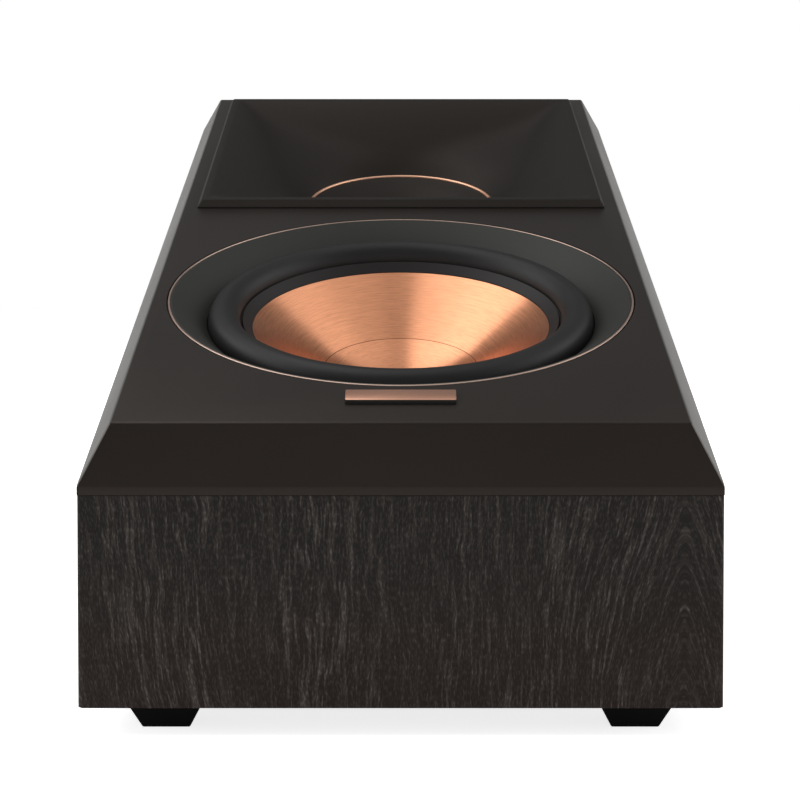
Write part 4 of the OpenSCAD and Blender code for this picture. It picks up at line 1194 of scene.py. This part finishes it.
@dataclass
class Horn:
    """Square horn that turns round towards its copper throat ring, with the tweeter behind it.

    Attributes:
        shop: Where pieces are finished.
        axis: The driver's axis.
        width: Width of the flange.
        length: Length of the flange up the slope.
        proud: Height of the flange above the baffle.
        bevel: Width of its outer rounding.
        lip: Width of its flat lip.
        wall: Thickness of the horn's wall.
        throat: Outer radius of the throat ring.
        throat_depth: Depth of the throat ring.
        flare: Exponent of the horn's curve.
        corner: Exponent of the mouth's section, which is the sharper the higher it is.
    """

    shop: Workshop
    axis: Axis
    width: float = 148.0
    length: float = 143.8
    proud: float = 2.9
    bevel: float = 1.6
    lip: float = 2.2
    wall: float = 2.6
    throat: float = 37.2
    throat_depth: float = 21.5
    flare: float = 1.25
    corner: float = 60.0
    sides: int = 320
    steps: int = 44

    @property
    def mouth(self) -> Point:
        """Half sizes of the mouth inside the lip."""
        inset = self.bevel + self.lip
        return self.width / 2 - inset, self.length / 2 - inset

    def build(self) -> None:
        """Build every visible piece of the horn."""
        self.shell()
        self.throat_ring()
        self.throat_piece()
        self.plug()
        self.dome()

    def ring_at(self, share: float, grow: float = 0.0, drop: float = 0.0) -> tuple[float, float, float, float]:
        """One ring of the flare.

        Args:
            share: Share of the way down, 0 at the mouth.
            grow: Millimetres added all round.
            drop: Millimetres further down.

        Returns:
            Half width, half length, exponent of the section and height.
        """
        x, y = self.mouth
        return (
            x + (self.throat - x) * share + grow, y + (self.throat - y) * share + grow,
            2.0 + (self.corner - 2.0) * (1 - share) ** 3.5,
            self.proud - (self.proud + self.throat_depth) * share**self.flare - drop,
        )

    def ring_points(self, ring: tuple[float, float, float, float]) -> list[Vector]:
        """Points of a section between a rectangle and an ellipse, closest together at the corners.

        Args:
            ring: Half width, half length, exponent of the section and height.

        Returns:
            The points in the row frame.
        """
        half_x, half_y, power, height = ring
        points = []
        for number in range(self.sides):
            a = 2 * math.pi * number / self.sides
            a += 0.2 * math.sin(4 * a)
            c, s = math.cos(a), math.sin(a)
            reach = (abs(c) ** power + abs(s) ** power) ** (1 / power)
            points.append(self.axis.place(half_x * c / reach, half_y * s / reach, height))
        return points

    def shell(self) -> None:
        """Closed shell of the horn: flare, lip, bevelled flange and its back."""
        x, y = self.width / 2, self.length / 2
        sharp = 260.0
        flare = [self.ring_at((i / self.steps) ** 1.15, 0.05 if i == self.steps else 0.0) for i in range(self.steps + 1)]
        back = [self.ring_at(i / 24, self.wall, self.wall * 0.6) for i in range(24, 5, -1)]
        edge = [(0.4, 0.0), (0.0, 0.0), (0.0, 0.45), (0.1, 0.6), (self.bevel - 0.25, self.proud - 0.3),
                (self.bevel - 0.1, self.proud - 0.1), (self.bevel + 0.15, self.proud)]
        flange = [(x - inset, y - inset, sharp, height) for inset, height in edge]
        floor = -self.throat_depth - 2.5
        loop = [
            *flare, (self.throat + 0.05,) * 2 + (2.0, floor), (self.throat + self.wall,) * 2 + (2.0, floor), *back,
            (back[-1][0], back[-1][1], sharp, 0.0), *flange,
        ]
        points, faces = [], []
        for ring in loop:
            points += self.ring_points(ring)
        n, m = self.sides, len(loop)
        for j in range(m):
            for i in range(n):
                a, b, k = j * n, (j + 1) % m * n, (i + 1) % n
                faces.append((a + i, a + k, b + k, b + i))
        mesh = mesh_from("horn_flare", points, faces)
        smooth(mesh, 24)
        piece = self.shop.finish(mesh, ["horn_plastic", "horn_edge"], nodes=["horn"])
        # The flange's outward-facing bevel takes the lighter copy of the plastic: painted light.
        for polygon in piece.data.polygons:
            at = (polygon.center - self.axis.centre) / MM
            outside = max(abs(at.x) - x, abs(at.dot(self.axis.up)) - y) > -self.bevel + 0.1
            polygon.material_index = 1 if outside and at.dot(self.axis.out) > 0.5 else 0

    def throat_ring(self) -> None:
        """Copper ring in the throat."""
        r, inner, top = self.throat, self.throat - 1.3, -self.throat_depth
        profile = [(inner, top - 2.5), (r, top - 2.5), *arc(((r + inner) / 2, top - 0.2), (r - inner) / 2, 0, 180, 12)]
        self.shop.finish(turned("throat_copper", self.axis, profile), ["throat_rose"], nodes=["throat_ring"], slot="accent_copper")

    def throat_piece(self) -> None:
        """Funnel from the throat ring to the tweeter."""
        inner, out = self.throat - 1.3, 13.7
        top, waist, end = -self.throat_depth - 2.5, -39.5, -46.0
        lip = inner - 0.05
        funnel = curve((lip, top + 2.2), (inner / 2, top - 4), (out, waist), 32)
        outer = curve((out + 3.4, 3 + end), (inner / 2 + 5, top - 9), (inner + 1.4, top - 3), 12)
        profile = [*funnel, (out, end), (30.0, end), (30.0, end + 3), *outer, (48.0, top - 3), (48.0, top), (lip, top)]
        self.shop.finish(turned("throat_funnel", self.axis, profile), ["horn_plastic"], nodes=["horn_throat"])

    def plug(self) -> None:
        """Rounded plug on three thin spokes in front of the dome."""
        top = -39.5
        bullet = turned("phase_bullet", self.axis, [(0, top - 1.6), (4.4, top - 1.6), *curve((4.4, top), (4.0, top + 5), (0, top + 7), 16)], 64)
        piece = self.shop.finish(bullet, ["horn_plastic"], nodes=["phase_plug"])
        collar = turned("phase_collar", self.axis, [(12.65, top - 3.5), (13.65, top - 3.5), (13.65, top), (12.65, top)], 128)
        self.shop.finish(collar, ["horn_plastic"])
        for number in range(3):
            a = math.radians(120 * number)
            turn = Matrix.Rotation(a, 4, "Z")
            work = rounded_box((3.5, -0.6, top - 1.6), (13.0, 0.6, top), 0.2)
            bmesh.ops.transform(work, matrix=turn, verts=work.verts)
            self.shop.finish(placed(f"phase_spoke_{number}", work, self.axis.place), ["horn_plastic"])

    def dome(self) -> None:
        """Metal dome of the tweeter."""
        r, bulge, depth = 12.7, 4.0, 46.4
        ball = (r * r + bulge * bulge) / (2 * bulge)
        reach = math.asin(r / ball)
        middle_z = bulge - depth - ball
        sides = [reach * (1 - i / 24) for i in range(25)]
        upper = [(ball * math.sin(a), middle_z + ball * math.cos(a) + 0.3) for a in sides]
        lower = [(x, z - 0.3) for x, z in reversed(upper)]
        profile = [(r + 0.6, -depth), (r + 0.6, 0.3 - depth), *upper, *lower]
        self.shop.finish(turned("bright_dome", self.axis, profile), ["dome_metal"], Body.DOME, ["tweeter_dome"])


@dataclass(frozen=True)
class Screw:
    """Cross-recessed screw, measured in millimetres from the plane that its head is set by.

    Attributes:
        shank: Radius of the shank.
        head: Radius of the head.
        length: Length below that plane.
        rise: Height of a pan head above it, or 0 for a countersunk head.
    """

    shank: float
    head: float
    length: float
    rise: float = 0.0

    def mesh(self) -> bpy.types.Mesh:
        """Mesh of one screw with its tip pointing down.

        Returns:
            The mesh.
        """
        local = Axis(Vector((0.0, 0.0, 0.0)), Vector((0.0, 0.0, 1.0)))
        neck = -(self.head - self.shank) if self.rise == 0.0 else 0.0
        crown = curve((self.head, self.rise * 0.35), (self.head, self.rise), (0.0, self.rise), 8) if self.rise else [
            (self.head, -0.06), (self.head - 0.06, 0.0), (0.0, 0.0)]
        rim = [(self.head, 0.0)] if self.rise else []
        profile = [(0.0, -self.length), (self.shank * 0.4, -self.length), (self.shank, -self.length + 1.5), (self.shank, neck),
                   *rim, *crown]
        body = turned("screw", local, profile, 48)
        slots = []
        for long_x in (True, False):
            work = bmesh.new()
            bmesh.ops.create_cube(work, size=2.0)
            reach, half = self.head * 0.6, self.head * 0.13
            for vert in work.verts:
                vert.co.x *= reach if long_x else half
                vert.co.y *= half if long_x else reach
                vert.co.z = self.rise + vert.co.z * self.head * 0.4
            slots.append(placed("slot", work, local.place))
        return cut_away(body, slots)


class Repeater:
    """Geometry Nodes group that puts one small mesh on marked points, all facing one way."""

    def __init__(self) -> None:
        """Build the group."""
        self.tree = bpy.data.node_groups.new("repeated_piece", "GeometryNodeTree")
        faces = self.tree.interface.new_socket
        faces(name="Points", in_out="INPUT", socket_type="NodeSocketGeometry")
        self.keys = {label: faces(name=label, in_out="INPUT", socket_type=kind).identifier for label, kind in (
            ("Unit", "NodeSocketObject"), ("Facing", "NodeSocketVector"), ("Finish", "NodeSocketMaterial"))}
        faces(name="Pieces", in_out="OUTPUT", socket_type="NodeSocketGeometry")
        graph = Graph(self.tree)
        come, go = graph.add("NodeGroupInput").outputs, graph.add("NodeGroupOutput")
        turn = graph.add("FunctionNodeAlignRotationToVector", {"Vector": come["Facing"]}, axis="Z").outputs[0]
        unit = graph.add("GeometryNodeObjectInfo", {"Object": come["Unit"]}).outputs["Geometry"]
        spread = graph.add("GeometryNodeInstanceOnPoints", {"Points": come["Points"], "Instance": unit, "Rotation": turn})
        real = graph.add("GeometryNodeRealizeInstances", {"Geometry": spread.outputs[0]}).outputs[0]
        painted = graph.add("GeometryNodeSetMaterial", {"Geometry": real, "Material": come["Finish"]}).outputs[0]
        graph.tree.links.new(painted, go.inputs["Pieces"])

    def mesh(
        self, name: str, unit: bpy.types.Mesh, points: Sequence[Vector], facing: Vector, finish: bpy.types.Material,
    ) -> bpy.types.Mesh:
        """Mesh of all copies.

        Args:
            name: Name of the mesh.
            unit: Mesh of one copy.
            points: Where the copies stand, in metres.
            facing: Direction of their own Z.
            finish: Their material.

        Returns:
            The joined mesh.
        """
        marks = bpy.data.meshes.new("marks")
        marks.from_pydata([tuple(p) for p in points], [], [])
        holder, model = new_object("marks", marks), new_object("unit", unit)
        modifier = holder.modifiers.new("repeat", "NODES")
        modifier.node_group = self.tree
        modifier[self.keys["Unit"]] = model
        modifier[self.keys["Facing"]] = tuple(facing)
        modifier[self.keys["Finish"]] = finish
        holder.update_tag()
        bpy.context.view_layer.update()
        evaluated = holder.evaluated_get(bpy.context.evaluated_depsgraph_get())
        mesh = bpy.data.meshes.new_from_object(evaluated)
        mesh.name = name
        for spent in (holder, model):
            bpy.data.objects.remove(spent)
        smooth(mesh)
        return mesh


@dataclass
class Fittings:
    """Screws and fluted binding post caps.

    Attributes:
        shop: Where pieces are finished.
        repeater: What repeats screws and ribs.
        cap: Radius of a cap over its ribs.
        ribs: Number of ribs on a cap.
    """

    shop: Workshop
    repeater: Repeater
    cap: float = 7.0
    ribs: int = 24

    def build(self) -> None:
        """Build every fitting."""
        rear, down = Vector((0.0, 1.0, 0.0)), Vector((0.0, 0.0, -1.0))
        corners = [(x, y) for x in (-1, 1) for y in (-1, 1)]
        cup = [at_rear(x * 40.0, y * 28.0, 0.0, 50.0) for x, y in corners]
        key = [at_rear(x * 15.0, 5.0 + y * 20.0, 0.0, 126.0) for x, y in corners]
        self.screws("rear_cross_screws", Screw(1.6, 2.8, 11.0), [*cup, *key], rear, "rear_screws")
        feet = [MM * Vector((x * 65.0, y * (SIZES.depth / 2 - 18.2), SIZES.foot / 2)) for x, y in corners]
        self.screws("foot_cross_screws", Screw(2.1, 3.8, 15.0, 2.2), feet, down, "foot_screws")
        self.post_cap("cap_red", 1, Body.KNOB_RED)
        self.post_cap("cap_black", -1, Body.KNOB_BLACK)

    def screws(self, name: str, screw: Screw, points: Sequence[Vector], facing: Vector, node: str) -> None:
        """Set of equal screws.

        Args:
            name: Name of the piece.
            screw: The screw.
            points: Where the heads sit, in metres.
            facing: Way that the heads face.
            node: CAD node that they replace.
        """
        slot = SLOT_OF[node]
        mesh = self.repeater.mesh(name, screw.mesh(), points, facing, self.shop.palette[slot])
        self.shop.finish(mesh, [slot], nodes=[node])

    def post_cap(self, node: str, side: int, body: Body) -> None:
        """Cap of a binding post with a ring of ribs.

        Args:
            node: CAD node of the cap.
            side: 1 for the cap on the left as seen from behind.
            body: Body that it turns with.
        """
        axis = Axis(in_cabinet(side * 9.5, SIZES.depth - 22.0, 43.0), Vector((0.0, 1.0, 0.0)))
        slot, core = SLOT_OF[node], self.cap - 0.6
        low, high, bore, hole = 2.3, 17.2, 4.47, 3.35
        profile = [
            (bore, low), (self.cap - 0.3, low), *arc((self.cap - 0.3, low + 0.3), 0.3, -60, 0, 3), (self.cap, low + 2.2),
            (core, low + 2.8), *arc((core - 0.7, high - 0.7), 0.7, 0, 90, 6), (hole + 0.6, high), (hole, high - 0.5),
            (hole, high - 1.95), (bore, high - 1.95),
        ]
        self.shop.finish(turned(f"{node}_core", axis, profile, 96), [slot], body, [node])
        local = Axis(Vector((0.0, 0.0, 0.0)), Vector((0.0, 0.0, 1.0)))
        half, thick = 5.4, 0.58
        rod = [(0.0, -half), *curve((thick * 0.6, -half), (thick, -half), (thick, 0.5 - half), 3),
               *curve((thick, half - 0.5), (thick, half), (thick * 0.6, half), 3), (0.0, half)]
        turns = [2 * math.pi * i / self.ribs for i in range(self.ribs)]
        reach = self.cap - thick
        points = [axis.place(reach * math.cos(a), reach * math.sin(a), (low + 2.8 + high - 0.7) / 2) for a in turns]
        mesh = self.repeater.mesh(f"{node}_ribs", turned("rib", local, rod, 12), points, axis.out, self.shop.palette[slot])
        self.shop.finish(mesh, [slot], body)


@dataclass
class Stage:
    """Camera, soft light and the pale floor."""

    lens: float = 84.08

    def build(self) -> None:
        """Build the stage."""
        scene = bpy.context.scene
        scene.view_settings.view_transform = "Standard"
        self.camera(scene)
        self.world(scene)
        self.floor()
        self.lamp("left_overhead", (-0.46, -0.05, 1.3), (-0.46, -0.05, 0.0), (0.68, 1.2), 5.0)
        self.lamp("right_overhead", (1.18, -0.05, 1.3), (1.18, -0.05, 0.0), (2.04, 1.2), 5.7)
        self.lamp("left_side", (-1.7, 0.1, 0.7), (0.0, 0.0, 0.1), (2.2, 1.4), 16.0)
        self.lamp("right_side", (1.8, 0.1, 0.7), (0.0, 0.0, 0.1), (2.2, 1.4), 17.5)
        self.lamp("middle_overhead", (0.02, -0.05, 1.3), (0.02, -0.05, 0.0), (0.28, 1.2), 0.5)
        self.lamp("left_outer", (-1.5, -0.05, 1.3), (-1.5, -0.05, 0.0), (1.4, 1.2), 8.5)
        self.lamp("right_outer", (2.9, -0.05, 1.3), (2.9, -0.05, 0.0), (1.4, 1.2), 1.8)
        self.lamp("front_fill", (0.1, -1.7, 0.9), (0.0, 0.0, 0.05), (1.4, 0.9), 1.4)

    def camera(self, scene: bpy.types.Scene) -> None:
        """Camera that stands where the photograph was taken from.

        Args:
            scene: The scene.
        """
        data = bpy.data.cameras.new("camera")
        data.lens = self.lens
        data.sensor_width = 36.0
        data.shift_x = -0.00219
        data.shift_y = -0.085
        data.dof.use_dof = False
        camera = new_object("camera", data)
        camera.location = (0.00029, -0.66616, 0.12753)
        camera.rotation_euler = (math.radians(90.0 - 1.998), 0.0, 0.0)
        scene.camera = camera

    def lamp(self, name: str, place: Sequence[float], aim: Sequence[float], size: Point, watts: float) -> None:
        """Add a soft area lamp.

        Args:
            name: Its name.
            place: Where it hangs, in metres.
            aim: Point that it looks at.
            size: Its width and height.
            watts: Its power.
        """
        data = bpy.data.lights.new(name, "AREA")
        data.shape = "RECTANGLE"
        data.size, data.size_y = size
        data.energy = watts
        lamp = new_object(name, data)
        lamp.location = place
        lamp.rotation_euler = (Vector(aim) - Vector(place)).to_track_quat("-Z", "Y").to_euler()

    def world(self, scene: bpy.types.Scene) -> None:
        """White world behind the object, which gets darker towards the zenith for all but the camera.

        Args:
            scene: The scene.
        """
        world = bpy.data.worlds.new("studio")
        scene.world = world
        world.use_nodes = True
        graph = Graph(world.node_tree)
        path = graph.add("ShaderNodeLightPath").outputs
        seen = graph.math("MAXIMUM", path["Is Camera Ray"], path["Is Transmission Ray"])
        height = graph.add("ShaderNodeSeparateXYZ", {0: graph.add("ShaderNodeTexCoord").outputs["Generated"]}).outputs[2]
        dim = graph.span(height, 0.02, 0.36, 0.85, 0.22)
        strength = graph.math("MAXIMUM", seen, dim)
        back = world.node_tree.nodes["Background"]
        back.inputs["Color"].default_value = (1.0, 1.0, 1.0, 1.0)
        graph.tree.links.new(strength, back.inputs["Strength"])

    def floor(self) -> None:
        """Wide white floor that keeps a faint shadow of the object."""
        half = 5.0
        mesh = bpy.data.meshes.new("floor")
        mesh.from_pydata([(-half, -half, 0), (half, -half, 0), (half, half, 0), (-half, half, 0)], [], [(0, 1, 2, 3)])
        material = bpy.data.materials.new("pale_floor")
        material.use_nodes = True
        graph = Graph(material.node_tree)
        shader = material.node_tree.nodes["Principled BSDF"]
        shader.inputs["Base Color"].default_value = (0.86, 0.86, 0.86, 1.0)
        shader.inputs["Roughness"].default_value = 0.9
        shader.inputs["Specular IOR Level"].default_value = 0.1
        path = graph.add("ShaderNodeLightPath").outputs
        seen = graph.math("MAXIMUM", path["Is Camera Ray"], path["Is Transmission Ray"])
        glow = graph.math("MAXIMUM", graph.math("MULTIPLY", seen, 0.8), graph.math("MULTIPLY", path["Is Glossy Ray"], 0.3))
        graph.tree.links.new(glow, shader.inputs["Emission Strength"])
        shader.inputs["Emission Color"].default_value = (1.0, 1.0, 1.0, 1.0)
        mesh.materials.append(material)
        new_object("floor", mesh)


def dress_frame(shop: Workshop) -> None:
    """Give each CAD node that stays the material of its slot.

    Args:
        shop: The workshop with the palette.
    """
    for part in frame["record"]["subparts"]:
        node = frame["nodes"].get(part["node"])
        if node is None:
            continue
        node.data.materials.clear()
        node.data.materials.append(shop.palette[part["material_slot"]])


def main() -> None:
    """Build the whole scene."""
    logging.basicConfig(level=logging.INFO)
    shop = Workshop(Palette())
    dress_frame(shop)
    Cabinet(shop).build()
    Woofer(shop, Axis(on_slope(0, 107.973, SIZES.slab), OUT)).build()
    Horn(shop, Axis(on_slope(0, 266.544, SIZES.slab), OUT)).build()
    Fittings(shop, Repeater()).build()
    Stage().build()
    log.info("%d pieces", len(shop.pieces))


if __name__ == "__main__":
    main()
